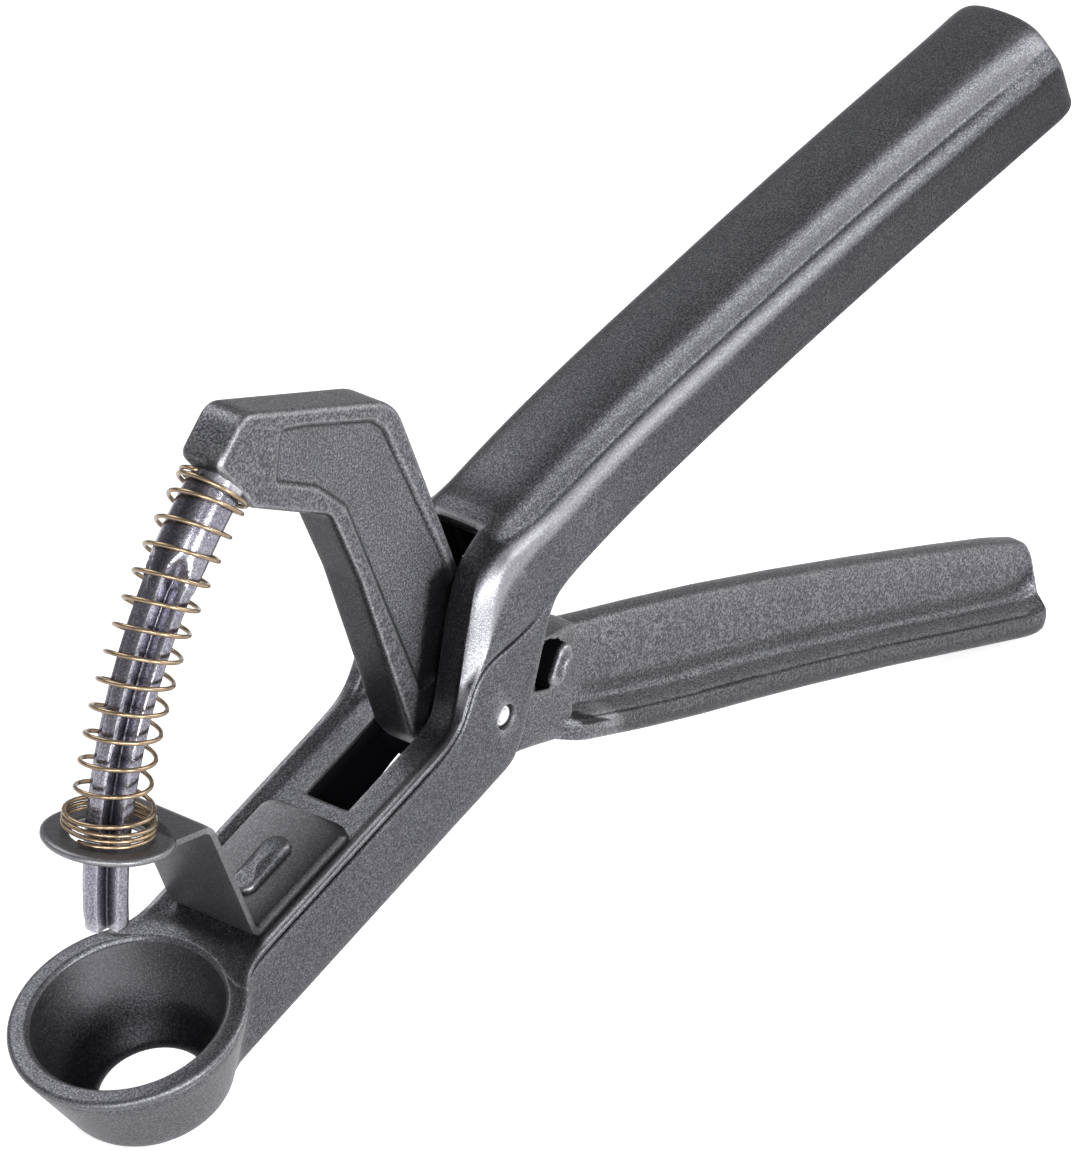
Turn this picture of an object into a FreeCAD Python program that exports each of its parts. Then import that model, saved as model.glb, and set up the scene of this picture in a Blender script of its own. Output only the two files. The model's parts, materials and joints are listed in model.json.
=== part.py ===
import FreeCAD, Part
import math
import os
import re

import Sketcher
from FreeCAD import Placement, Rotation, Vector

# Olive pitter: a pliers-type tool whose curved punch swings through a cup with a hole in its floor.
# Every piece is drawn in the tool's own frame: the origin is the middle of the cup's mouth, +X runs
# along the beam to the handles, +Z is the cup's axis, and the pivot pin lies along Y. At the end each
# piece is turned and moved so that the tool stands on its cup and on the tip of its lower handle.

# Driving dimensions: (name, value in mm or degrees, what it is)
dimensions = [
    ("rimRadius", 15.3, "cup, outer edge of the rim"),
    ("mouthRadius", 12.4, "cup, mouth of the bowl"),
    ("rimHeight", 1.4, "cup, height of the rim's straight edge"),
    ("cupDepth", 14.5, "cup, rim plane to foot"),
    ("footRadius", 10.0, "cup, outer radius at the foot"),
    ("footRound", 2.4, "cup, rounding of the foot's corner"),
    ("pitHoleRadius", 6.9, "cup, hole in the floor"),
    ("pitLip", 0.9, "cup, height of the hole's wall"),
    ("bowlRadius", 19.6, "cup, radius of the bowl's wall in section"),
    ("beamRoot", 9.0, "beam, its front end inside the cup's wall"),
    ("sideHalf", 9.6, "beam, half width over the side plates"),
    ("railHalf", 9.1, "beam, half width of the rails above the side plates"),
    ("bedHalf", 7.9, "beam, half width of the sunk bed"),
    ("beamDepth", 11.6, "beam, rim plane to underside"),
    ("railHeight", 0.6, "beam, height of the rail above the side plate"),
    ("bedStart", 13.4, "beam, front end of the sunk bed"),
    ("rampAhead", 6.8, "beam, foot of the ramp in front of the pivot"),
    ("rampRun", 9.5, "ramp, length along the beam"),
    ("rampRise", 17.1, "ramp, height"),
    ("rampSink", 1.4, "ramp, sunk band behind its rails"),
    ("slotAhead", 24.0, "slot, front end in front of the pivot"),
    ("slotBehind", 8.3, "slot, rear end behind the pivot"),
    ("slotHalf", 3.5, "slot, half width"),
    ("topWall", 2.5, "beam, thickness of the plate under the bed"),
    ("channelHalf", 4.8, "beam, half width of the channel underneath"),
    ("channelStart", 17.5, "beam, front end of the channel"),
    ("channelRise", 13.0, "beam, top of the channel behind the ramp, above the pivot"),
    ("channelLead", 0.6, "beam, channel's step behind the ramp's foot"),
    ("pivotReach", 64.2, "pivot, distance from the cup's axis"),
    ("pivotDrop", 4.0, "pivot, distance below the rim plane"),
    ("pinRadius", 1.5, "pivot pin, radius"),
    ("pinRecess", 0.5, "pivot pin, its ends below the side plates"),
    ("pinChamfer", 0.3, "pivot pin, chamfer of its ends"),
    ("pinClearance", 0.05, "radial clearance of the punch lever on the pin"),
    ("cheekTop", 4.6, "cheek, top edge above the rim plane"),
    ("cheekFront", 3.6, "cheek, front end of its top edge behind the ramp's foot"),
    ("cheekRun", 13.1, "cheek, rear end behind the pivot"),
    ("cheekBelly", 7.0, "cheek, rear edge half way, behind the pivot"),
    ("cheekBellyDrop", 5.3, "cheek, rear edge half way, below the rim plane"),
    ("gripRadius", 1100.0, "upper handle, radius of its arched top"),
    ("gripTop", 18.9, "upper handle, top at its root above the rim plane"),
    ("gripTilt", 1.7, "upper handle, slope at its root in degrees"),
    ("gripLength", 117.0, "upper handle, length behind its root"),
    ("gripForward", 14.0, "upper handle, run forward of its root"),
    ("domeRadius", 8.6, "upper handle, radius of the dome"),
    ("domeHalf", 7.3, "upper handle, half width of the dome"),
    ("domeHeight", 4.05, "upper handle, height of the dome"),
    ("ridgeHalf", 8.4, "upper handle, half width at the ridge"),
    ("ridgeDrop", 5.6, "upper handle, ridge below the top"),
    ("skirtHalf", 9.4, "upper handle, half width at the lower edge"),
    ("skirtDrop", 14.6, "upper handle, lower edge below the top"),
    ("gripWall", 2.2, "upper handle, wall"),
    ("endWall", 2.4, "upper handle, wall at its end"),
    ("stripHalf", 6.8, "stripper, half width of the strip"),
    ("sheetThickness", 1.0, "stripper, thickness of the sheet"),
    ("tailEnd", 37.2, "stripper, rear end of its tail"),
    ("bendReach", 17.2, "stripper, front of its lower bend"),
    ("riseLean", 1.7, "stripper, lean of the rise towards the cup"),
    ("riseHeight", 20.8, "stripper, upper bend above the rim plane"),
    ("discAngle", 152.5, "stripper disc, angle of its top face about the pivot"),
    ("discRadius", 8.25, "stripper disc, outer radius"),
    ("discHole", 4.7, "stripper disc, radius of its hole"),
    ("riseInset", 7.175, "stripper, upper end of the rise from the middle of the disc's hole"),
    ("studReach", 27.0, "stud, distance from the cup's axis"),
    ("studHalfLength", 4.5, "stud, half length of its shank"),
    ("studHalfWidth", 1.4, "stud, half width of its shank"),
    ("studHeight", 1.3, "stud, height of its head above the strip"),
    ("studEdge", 0.5, "stud, its head beyond its shank"),
    ("studClearance", 0.1, "gap round the stud in the strip"),
    ("armHalf", 3.2, "punch arm, half thickness"),
    ("headAngle", 112.5, "punch arm, angle of its shoulder about the pivot"),
    ("headBelow", 4.1, "punch arm, shoulder's inner end within the punch's path"),
    ("headAbove", 6.5, "punch arm, shoulder's outer end beyond the punch's path"),
    ("crestAhead", 20.6, "punch arm, its highest corner in front of the pivot"),
    ("crestRise", 3.3667, "punch arm, its highest corner above its shoulder's outer end"),
    ("elbowBehind", 3.7, "punch arm, outer elbow behind the pivot"),
    ("elbowHeight", 45.8, "punch arm, outer elbow above the rim plane"),
    ("crookAhead", 12.3, "punch arm, inner elbow in front of the pivot"),
    ("crookHeight", 40.6, "punch arm, inner elbow above the rim plane"),
    ("armAhead", 9.9, "punch arm, front edge in front of the pivot"),
    ("armBehind", 6.4, "punch arm, back edge at the rim plane, behind the pivot"),
    ("elbowRound", 6.0, "punch arm, rounding of the outer elbow"),
    ("crookRound", 3.0, "punch arm, rounding of the inner elbow"),
    ("crestRound", 3.0, "punch arm, rounding of the highest corner"),
    ("armRim", 2.4, "punch arm, rim round the sunk side panel"),
    ("panelDepth", 0.7, "punch arm, depth of the sunk side panel"),
    ("hubHalf", 4.5, "punch lever, half thickness at the pivot"),
    ("hubRadius", 4.6, "punch lever, hub above the pin"),
    ("hubDrop", 10.4, "punch lever, underside of the hub below the pivot"),
    ("hubCorner", 0.9, "punch lever, hub's upper corner behind its front"),
    ("neckInset", 0.4, "punch lever, neck's edges inside those of the arm and the handle"),
    ("neckBehind", 13.6, "punch lever, rear end of the neck's underside behind the pivot"),
    ("neckDrop", 23.3, "punch lever, rear end of the neck's underside below the rim plane"),
    ("leverBehind", 20.5, "lower handle, start of its top edge behind the pivot"),
    ("leverDrop", 9.5, "lower handle, start of its top edge below the rim plane"),
    ("leverTopRadius", 855.0, "lower handle, radius of its arched top edge"),
    ("leverTopBehind", 106.4, "lower handle, end of its top edge behind the pivot"),
    ("leverTopDrop", 73.2, "lower handle, end of its top edge below the rim plane"),
    ("leverTipBehind", 101.0, "lower handle, end of its underside behind the pivot"),
    ("leverTipDrop", 84.4, "lower handle, end of its underside below the rim plane"),
    ("leverBottomRadius", 1400.0, "lower handle, radius of its arched underside"),
    ("webHalf", 2.1, "lower handle, half thickness of the web"),
    ("lipHalf", 5.8, "lower handle, half width of the lip"),
    ("lipHeight", 3.4, "lower handle, height of the lip"),
    ("lipLean", 0.48, "lower handle, slant of the lip's rear end, as a share of its height"),
    ("bossBehind", 15.2, "punch lever, oval boss on its neck, behind the pivot"),
    ("bossDrop", 10.6, "punch lever, middle of the oval boss below the rim plane"),
    ("bossHalfLength", 2.8, "oval boss, half length"),
    ("bossHalfWidth", 1.2, "oval boss, half width"),
    ("bossHeight", 0.5, "oval boss, height"),
    ("collarRadius", 3.5, "punch, radius of the round collar"),
    ("collarSweep", 9.0, "punch, length of the collar in degrees about the pivot"),
    ("ribRadius", 3.2, "punch, radius over its ribs"),
    ("ribHalf", 1.1, "punch, half thickness of a rib"),
    ("punchSweep", 51.5, "punch, shoulder to tip in degrees about the pivot"),
    ("shankRadius", 2.4, "punch, radius of the shank in the arm's head"),
    ("shankSweep", 5.0, "punch, length of the shank in degrees about the pivot"),
    ("tipHollow", 0.9, "punch, depth of the hollow in its tip"),
    ("wireRadius", 0.3, "spring, radius of the wire"),
    ("coilRadius", 4.55, "spring, mean radius of its coils"),
    ("seatCoilRadius", 5.6, "spring, mean radius of the coils on the disc"),
    ("closedPitch", 0.72, "spring, pitch of its closed turns"),
    ("topTurns", 1.5, "spring, closed turns at the arm"),
    ("openTurns", 12.5, "spring, open turns"),
    ("seatTurns", 3.0, "spring, closed turns on the disc"),
    ("springGap", 0.1, "spring, gap to the faces that hold it"),
]

document = FreeCAD.newDocument("olive_pitter")
sheet = document.addObject("Spreadsheet::Sheet", "dimensions")
size = {}
for row, (name, value, meaning) in enumerate(dimensions, start=1):
    sheet.set(f"A{row}", meaning)
    sheet.set(f"B{row}", str(value))
    sheet.setAlias(f"B{row}", name)
    size[name] = value
document.recompute()


# Formulas: names of the sheet, numbers, sin(a), cos(a) and hypot(a;b), joined by spaced + - *

functions = {
    "sin": lambda angle: math.sin(math.radians(angle)),
    "cos": lambda angle: math.cos(math.radians(angle)),
    "hypot": math.hypot,
}


def factor(word):
    """Number that one word of a formula stands for."""
    if "(" in word:
        function, inside = word.rstrip(")").split("(")
        return functions[function](*[factor(part) for part in inside.split(";")])
    return size[word] if word in size else float(word)


def number(formula):
    """Value of a formula with the sizes of the sheet."""
    terms = [term.split() for term in formula.replace("- ", "+ -1 * ").split("+") if term.strip()]
    return sum(math.prod(factor(word) for word in term if word != "*") for term in terms)


def bound(formula):
    """The formula as an expression that reads the sheet."""
    return re.sub(r"[A-Za-z]\w*", lambda word: sheet_name(word.group()), formula)


def sheet_name(word):
    return f"dimensions.{word}" if word in size else word


def minus(formula):
    """The formula's opposite, as terms to add to another formula."""
    swap = {"+": "-", "-": "+"}
    return "- " + " ".join(swap.get(word, word) for word in formula.split())


# Sketches

def origin_plane(body, role):
    return next(item for item in body.Origin.OriginFeatures if item.Role == role)


def new_sketch(body, name, role="XZ_Plane"):
    """Empty sketch on one of the body's own planes."""
    sketch = body.newObject("Sketcher::SketchObject", name)
    sketch.AttachmentSupport = (origin_plane(body, role), [""])
    sketch.MapMode = "FlatFace"
    return sketch


def raised_sketch(body, name, role, height):
    """Empty sketch at a height above one of the body's planes."""
    sketch = new_sketch(body, name, role)
    sketch.AttachmentOffset = Placement(Vector(0, 0, number(height)), Rotation())
    sketch.setExpression("AttachmentOffset.Base.z", bound(height))
    return sketch


def radial_sketch(body, name, middle, turn):
    """Empty sketch on a plane that holds a Y-wise axis through the middle (x, z).

    The sketch's x runs along Y. Its y points away from the axis, turned from +Z towards +X.
    """
    sketch = new_sketch(body, name, "YZ_Plane")
    place = Vector(0, number(middle[1]), number(middle[0]))
    sketch.AttachmentOffset = Placement(place, Rotation(Vector(1, 0, 0), number(turn)))
    sketch.setExpression("AttachmentOffset.Base.y", bound(middle[1]))
    sketch.setExpression("AttachmentOffset.Base.z", bound(middle[0]))
    sketch.setExpression("AttachmentOffset.Rotation.Angle", bound(turn))
    return sketch


def bind(sketch, kind, where, formula):
    """Add one constraint whose value follows the formula."""
    index = sketch.addConstraint(Sketcher.Constraint(kind, *where, number(formula)))
    sketch.setExpression(f"Constraints[{index}]", bound(formula))


def draw_outline(sketch, points):
    """Draw a closed chain of lines and arcs.

    A point is (x, y), or (x, y, radius, side) where an arc leads on to the next point and its centre
    lies on that side of the way there.
    """
    corners = [Vector(number(point[0]), number(point[1]), 0) for point in points]
    first = sketch.GeometryCount
    ends = []
    for index, point in enumerate(points):
        here, there = corners[index], corners[(index + 1) % len(points)]
        if len(point) == 2:
            sketch.addGeometry(Part.LineSegment(here, there))
            ends.append((1, 2))
            continue
        radius, side = number(point[2]), (1 if point[3] == "left" else -1)
        half = (there - here) * 0.5
        across = Vector(-half.y, half.x, 0).normalize() * side
        sagitta = radius - math.sqrt(radius ** 2 - half.Length ** 2)
        sketch.addGeometry(Part.Arc(here, here + half - across * sagitta, there))
        ends.append((1, 2) if side > 0 else (2, 1))
    for index in range(len(points)):
        following = (index + 1) % len(points)
        joint = (first + index, ends[index][1], first + following, ends[following][0])
        sketch.addConstraint(Sketcher.Constraint("Coincident", *joint))
    for index, point in enumerate(points):
        for kind, formula in zip(("DistanceX", "DistanceY"), point):
            bind(sketch, kind, (-1, 1, first + index, ends[index][0]), formula)
        if len(point) > 2:
            bind(sketch, "Radius", (first + index,), point[2])


def draw_circle(sketch, x, y, radius):
    """Draw a circle whose middle and radius follow formulas."""
    index = sketch.addGeometry(Part.Circle(Vector(number(x), number(y), 0), Vector(0, 0, 1), number(radius)))
    bind(sketch, "DistanceX", (-1, 1, index, 3), x)
    bind(sketch, "DistanceY", (-1, 1, index, 3), y)
    bind(sketch, "Radius", (index,), radius)


def draw_oblong(sketch, x, y, half_length, half_width, along_x=True):
    """Draw a rectangle with rounded ends, long along x or along y."""
    low, high = f"{minus(half_length)} + {half_width}", f"+ {half_length} {minus(half_width)}"
    one_side, other_side = minus(half_width), f"+ {half_width}"
    if along_x:
        points = [
            (f"{x} {low}", f"{y} {one_side}"),
            (f"{x} {high}", f"{y} {one_side}", half_width),
            (f"{x} {high}", f"{y} {other_side}"),
            (f"{x} {low}", f"{y} {other_side}", half_width),
        ]
    else:
        points = [
            (f"{x} {other_side}", f"{y} {low}"),
            (f"{x} {other_side}", f"{y} {high}", half_width),
            (f"{x} {one_side}", f"{y} {high}"),
            (f"{x} {one_side}", f"{y} {low}", half_width),
        ]
    draw_half_round(sketch, points)


def draw_half_round(sketch, points):
    """Draw an oblong's two lines and two half circles, joined by tangents."""
    corners = [Vector(number(point[0]), number(point[1]), 0) for point in points]
    first = sketch.GeometryCount
    for index in (0, 2):
        here, there, beyond = corners[index], corners[index + 1], corners[(index + 2) % 4]
        sketch.addGeometry(Part.LineSegment(here, there))
        outward = (there - here).normalize() * ((beyond - there).Length / 2)
        sketch.addGeometry(Part.Arc(there, (there + beyond) * 0.5 + outward, beyond))
    for index in range(4):
        following = (index + 1) % 4
        sketch.addConstraint(Sketcher.Constraint("Tangent", first + index, 2, first + following, 1))
    bind(sketch, "DistanceX", (-1, 1, first, 1), points[0][0])
    bind(sketch, "DistanceY", (-1, 1, first, 1), points[0][1])
    bind(sketch, "DistanceX", (-1, 1, first, 2), points[1][0])
    bind(sketch, "DistanceY", (-1, 1, first, 2), points[1][1])
    bind(sketch, "Radius", (first + 1,), points[1][2])
    document.recompute()


# Features

def add_feature(body, kind, name, sketch):
    feature = body.newObject(f"PartDesign::{kind}", name)
    feature.Profile = sketch
    return feature


def pad_both_ways(body, name, sketch, half):
    """Pad by the same amount on both sides of the sketch."""
    pad = add_feature(body, "Pad", name, sketch)
    pad.SideType = "Symmetric"
    pad.setExpression("Length", f"2 * ({bound(half)})")
    document.recompute()
    return pad


def pad_one_way(body, name, sketch, length, reverse=False):
    """Pad along the sketch's normal, or against it."""
    pad = add_feature(body, "Pad", name, sketch)
    pad.setExpression("Length", bound(length))
    pad.Reversed = reverse
    document.recompute()
    return pad


def cut(feature):
    """Recompute, and stop if the cut took nothing away."""
    before = feature.BaseFeature.Shape.Volume
    document.recompute()
    if not feature.Shape.Volume < before:
        raise RuntimeError(f"{feature.Name} cuts nothing")
    return feature


def pocket_both_ways(body, name, sketch, half):
    """Cut by the same amount on both sides of the sketch."""
    pocket = add_feature(body, "Pocket", name, sketch)
    pocket.SideType = "Symmetric"
    pocket.setExpression("Length", f"2 * ({bound(half)})")
    return cut(pocket)


def pocket_one_way(body, name, sketch, length, reverse=False):
    """Cut against the sketch's normal, or along it."""
    pocket = add_feature(body, "Pocket", name, sketch)
    pocket.setExpression("Length", bound(length))
    pocket.Reversed = reverse
    return cut(pocket)


def turned(body, kind, name, sketch, forward, back=None, axis="H_Axis"):
    """Turn the sketch about its own axis: forward is from +Z towards +X, or right round at 360."""
    feature = add_feature(body, kind, name, sketch)
    feature.ReferenceAxis = (sketch, [axis])
    if back is None:
        feature.setExpression("Angle", forward)
    else:
        feature.Type = "TwoAngles"
        feature.setExpression("Angle", forward)
        feature.setExpression("Angle2", back)
    if kind == "Groove":
        return cut(feature)
    document.recompute()
    return feature


def arc_angle(length, radius):
    """Expression for the angle in degrees of an arc of that length."""
    return f"({bound(length)}) / ({bound(radius)}) * 180 / pi"


def round_edges(body, name, base, places, radius):
    """Round the edges along Y that stand at the places."""
    found = []
    for index, edge in enumerate(base.Shape.Edges, start=1):
        ends = [vertex.Point for vertex in edge.Vertexes]
        for x, z in places:
            spot = (number(x), number(z))
            if len(ends) == 2 and all(math.dist((end.x, end.z), spot) < 0.01 for end in ends):
                found.append(f"Edge{index}")
    fillet = body.newObject("PartDesign::Fillet", name)
    fillet.Base = (base, found)
    fillet.setExpression("Radius", bound(radius))
    document.recompute()
    return fillet


def new_body(name):
    body = document.addObject("PartDesign::Body", name)
    body.Label = name
    return body


# The path that the punch swings along, and the pivot

path_radius = "hypot(pivotReach;pivotDrop)"
pivot = ("pivotReach", "- pivotDrop")
shoulder_turn = "90 - headAngle"
disc_turn = "90 - discAngle"
tip_turn = "90 - headAngle - punchSweep"


def make_pivot_pin():
    """Headless pin, pressed into the cheeks a little below their faces."""
    body = new_body("pivot_pin")
    section = new_sketch(body, "pin_section")
    draw_circle(section, *pivot, "pinRadius")
    pad = pad_both_ways(body, "pin_length", section, "sideHalf - pinRecess")
    chamfer = body.newObject("PartDesign::Chamfer", "pin_ends")
    rims = [f"Edge{index}" for index, edge in enumerate(pad.Shape.Edges, start=1) if len(edge.Vertexes) == 1]
    chamfer.Base = (pad, rims)
    chamfer.setExpression("Size", bound("pinChamfer"))
    document.recompute()
    return body


def make_cup_lever():
    """Casting with the cup, the beam with its cheeks, and the hollow upper handle."""
    body = new_body("cup_lever")
    add_beam(body)
    add_grip(body)
    shape_ramp(body)
    add_cup(body)
    cut_channel_and_slot(body)
    add_stud(body)
    return body


def add_beam(body):
    sides = new_sketch(body, "side_plates_outline")
    draw_outline(sides, [
        ("beamRoot", "- beamDepth"),
        ("pivotReach", "- beamDepth"),
        ("pivotReach + cheekBelly", "- cheekBellyDrop"),
        ("pivotReach + cheekRun", "cheekTop"),
        ("pivotReach - rampAhead + cheekFront", "cheekTop"),
        ("pivotReach - rampAhead", "- railHeight"),
        ("beamRoot", "- railHeight"),
    ])
    pad_both_ways(body, "side_plates", sides, "sideHalf")
    rails = new_sketch(body, "rails_outline")
    draw_outline(rails, [
        ("beamRoot", "- beamDepth + railHeight"),
        ("pivotReach", "- beamDepth + railHeight"),
        ("pivotReach", "cheekTop"),
        ("pivotReach - rampAhead", "cheekTop"),
        ("pivotReach - rampAhead", "0"),
        ("beamRoot", "0"),
    ])
    pad_both_ways(body, "rails", rails, "railHalf")


# Middle of the upper handle's arch
grip_middle = ("pivotReach + slotBehind - gripRadius * sin(gripTilt)", "gripTop - gripRadius * cos(gripTilt)")


def add_grip(body):
    outside = radial_sketch(body, "grip_section", grip_middle, "gripTilt")
    draw_outline(outside, [
        ("- skirtHalf", "gripRadius - skirtDrop"),
        ("skirtHalf", "gripRadius - skirtDrop"),
        ("ridgeHalf", "gripRadius - ridgeDrop"),
        ("domeHalf", "gripRadius - domeHeight", "domeRadius", "left"),
        ("- domeHalf", "gripRadius - domeHeight"),
        ("- ridgeHalf", "gripRadius - ridgeDrop"),
    ])
    length, forward = arc_angle("gripLength", "gripRadius"), arc_angle("gripForward", "gripRadius")
    turned(body, "Revolution", "grip", outside, length, forward)


def hollow_grip(body):
    """Open the upper handle from below, up to a wall at its end."""
    inside = radial_sketch(body, "grip_hollow_section", grip_middle, "gripTilt")
    draw_outline(inside, [
        ("- skirtHalf + gripWall", "gripRadius - skirtDrop - cheekTop"),
        ("skirtHalf - gripWall", "gripRadius - skirtDrop - cheekTop"),
        ("ridgeHalf - gripWall", "gripRadius - ridgeDrop - 0.5 * gripWall"),
        ("domeHalf - gripWall", "gripRadius - domeHeight - 0.5 * gripWall", "domeRadius - gripWall", "left"),
        ("- domeHalf + gripWall", "gripRadius - domeHeight - 0.5 * gripWall"),
        ("- ridgeHalf + gripWall", "gripRadius - ridgeDrop - 0.5 * gripWall"),
    ])
    length = arc_angle("gripLength - endWall", "gripRadius")
    start = arc_angle("cheekRun - slotBehind", "gripRadius")
    turned(body, "Groove", "grip_hollow", inside, length, f"-1 * {start}")


def shape_ramp(body):
    """Slope the front of the upper handle, and sink the bed between the rails."""
    front = new_sketch(body, "ramp_outline")
    draw_outline(front, [
        ("pivotReach - rampAhead", "0"),
        ("pivotReach - rampAhead + rampRun", "rampRise"),
        ("pivotReach - rampAhead + rampRun", "rampRise + gripTop"),
        ("pivotReach - slotAhead", "rampRise + gripTop"),
        ("pivotReach - slotAhead", "0"),
    ])
    pocket_both_ways(body, "ramp", front, "sideHalf + gripWall")
    bed = new_sketch(body, "bed_outline")
    draw_outline(bed, [
        ("bedStart", "- sheetThickness"),
        ("pivotReach - rampAhead + 0.5 * rampSink", "- sheetThickness"),
        ("pivotReach - rampAhead + rampRun + rampSink", "rampRise"),
        ("pivotReach - rampAhead + rampRun + rampSink", "rampRise + gripTop"),
        ("pivotReach - rampAhead + rampRun", "rampRise + gripTop"),
        ("pivotReach - rampAhead", "gripWall"),
        ("bedStart", "gripWall"),
    ])
    pocket_both_ways(body, "bed", bed, "bedHalf")


def add_cup(body):
    wall = new_sketch(body, "cup_section")
    draw_outline(wall, [
        ("0", "0"),
        ("0", "- cupDepth"),
        ("footRadius - footRound", "- cupDepth", "footRound", "left"),
        ("footRadius", "- cupDepth + footRound"),
        ("rimRadius", "- rimHeight"),
        ("rimRadius", "0"),
    ])
    turned(body, "Revolution", "cup", wall, "360", axis="V_Axis")
    bowl = new_sketch(body, "bowl_section")
    draw_outline(bowl, [
        ("0", "rimHeight"),
        ("0", "- cupDepth - rimHeight"),
        ("pitHoleRadius", "- cupDepth - rimHeight"),
        ("pitHoleRadius", "- cupDepth + pitLip", "bowlRadius", "left"),
        ("mouthRadius", "0"),
        ("mouthRadius", "rimHeight"),
    ])
    turned(body, "Groove", "bowl", bowl, "360", axis="V_Axis")


def cut_channel_and_slot(body):
    """Open the beam from below for the punch lever, and from above for its arm."""
    channel = new_sketch(body, "channel_outline")
    draw_outline(channel, [
        ("channelStart", "- beamDepth - topWall"),
        ("pivotReach + 2 * cheekRun", "- beamDepth - topWall"),
        ("pivotReach + 2 * cheekRun", "channelRise - pivotDrop"),
        ("pivotReach - rampAhead + 0.9 * rampRun", "channelRise - pivotDrop"),
        ("pivotReach - rampAhead + channelLead", "- sheetThickness - topWall"),
        ("channelStart", "- sheetThickness - topWall"),
    ])
    pocket_both_ways(body, "channel", channel, "channelHalf")
    hollow_grip(body)
    slot = new_sketch(body, "slot_outline", "XY_Plane")
    draw_outline(slot, [
        ("pivotReach - slotAhead", "- slotHalf"),
        ("pivotReach + slotBehind", "- slotHalf"),
        ("pivotReach + slotBehind", "slotHalf"),
        ("pivotReach - slotAhead", "slotHalf"),
    ])
    pocket_both_ways(body, "slot", slot, "gripTop + rampRise")
    bore = new_sketch(body, "pin_bore_section")
    draw_circle(bore, *pivot, "pinRadius")
    pocket_both_ways(body, "pin_bore", bore, "sideHalf + gripWall")


def add_stud(body):
    """Oblong stud through the strip, with its end spread over it."""
    shank = raised_sketch(body, "stud_shank_outline", "XY_Plane", "- sheetThickness")
    draw_oblong(shank, "studReach", "0", "studHalfLength", "studHalfWidth")
    pad_one_way(body, "stud_shank", shank, "sheetThickness + 0.5 * studHeight")
    head = new_sketch(body, "stud_head_outline", "XY_Plane")
    draw_oblong(head, "studReach", "0", "studHalfLength + studEdge", "studHalfWidth + studEdge")
    pad_one_way(body, "stud_head", head, "studHeight")


def make_stripper_plate():
    """Bent sheet: a tail in the beam's bed, a rise behind the cup, and a disc above the cup."""
    body = new_body("stripper_plate")
    side = new_sketch(body, "strip_outline")
    disc_x, disc_z = "cos(discAngle)", "sin(discAngle)"
    rise_end = (
        f"pivotReach + {path_radius} * {disc_x} - riseInset * {disc_x}",
        f"- pivotDrop + {path_radius} * {disc_z} - riseInset * {disc_z}",
    )
    draw_outline(side, [
        ("bendReach", "- sheetThickness"),
        ("tailEnd", "- sheetThickness"),
        ("tailEnd", "0"),
        ("bendReach + sheetThickness", "0"),
        ("bendReach + sheetThickness - riseLean", "riseHeight"),
        rise_end,
        (f"{rise_end[0]} - sheetThickness * {disc_z}", f"{rise_end[1]} + sheetThickness * {disc_x}"),
        ("bendReach - riseLean", "riseHeight - 1.5 * sheetThickness"),
    ])
    pad_both_ways(body, "strip", side, "stripHalf")
    disc = radial_sketch(body, "disc_outline", pivot, disc_turn)
    draw_circle(disc, "0", path_radius, "discRadius")
    pad_one_way(body, "disc", disc, "sheetThickness", reverse=True)
    hole = radial_sketch(body, "disc_hole_outline", pivot, disc_turn)
    draw_circle(hole, "0", path_radius, "discHole")
    pocket_both_ways(body, "disc_hole", hole, "2 * sheetThickness")
    slot = new_sketch(body, "stud_hole_outline", "XY_Plane")
    draw_oblong(slot, "studReach", "0", "studHalfLength + studClearance", "studHalfWidth + studClearance")
    pocket_both_ways(body, "stud_hole", slot, "2 * sheetThickness")
    return body


def make_punch_lever():
    """Casting with the punch arm, the hub, the neck and the lower handle."""
    body = new_body("punch_lever")
    add_arm(body)
    add_neck(body)
    add_lower_handle(body)
    sink_arm_panels(body)
    add_neck_bosses(body)
    cut_lever_bores(body)
    return body


head_inner = (
    f"pivotReach + {path_radius} * cos(headAngle) - headBelow * cos(headAngle)",
    f"- pivotDrop + {path_radius} * sin(headAngle) - headBelow * sin(headAngle)",
)
head_outer = (
    f"pivotReach + {path_radius} * cos(headAngle) + headAbove * cos(headAngle)",
    f"- pivotDrop + {path_radius} * sin(headAngle) + headAbove * sin(headAngle)",
)


arm_crest = ("pivotReach - crestAhead", f"{head_outer[1]} + crestRise")


def add_arm(body):
    side = new_sketch(body, "arm_outline")
    draw_outline(side, [
        head_inner,
        ("pivotReach - crookAhead", "crookHeight"),
        ("pivotReach - armAhead", "- pivotDrop"),
        ("pivotReach - armAhead + hubRadius", "- pivotDrop - hubDrop"),
        ("pivotReach + leverBehind", "- leverDrop"),
        ("pivotReach + armBehind", "0"),
        ("pivotReach + elbowBehind", "elbowHeight"),
        arm_crest,
        head_outer,
    ])
    arm = pad_both_ways(body, "arm", side, "armHalf")
    arm = round_edges(body, "arm_elbow", arm, [("pivotReach + elbowBehind", "elbowHeight")], "elbowRound")
    arm = round_edges(body, "arm_crook", arm, [("pivotReach - crookAhead", "crookHeight")], "crookRound")
    round_edges(body, "arm_crest", arm, [arm_crest], "crestRound")


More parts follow.
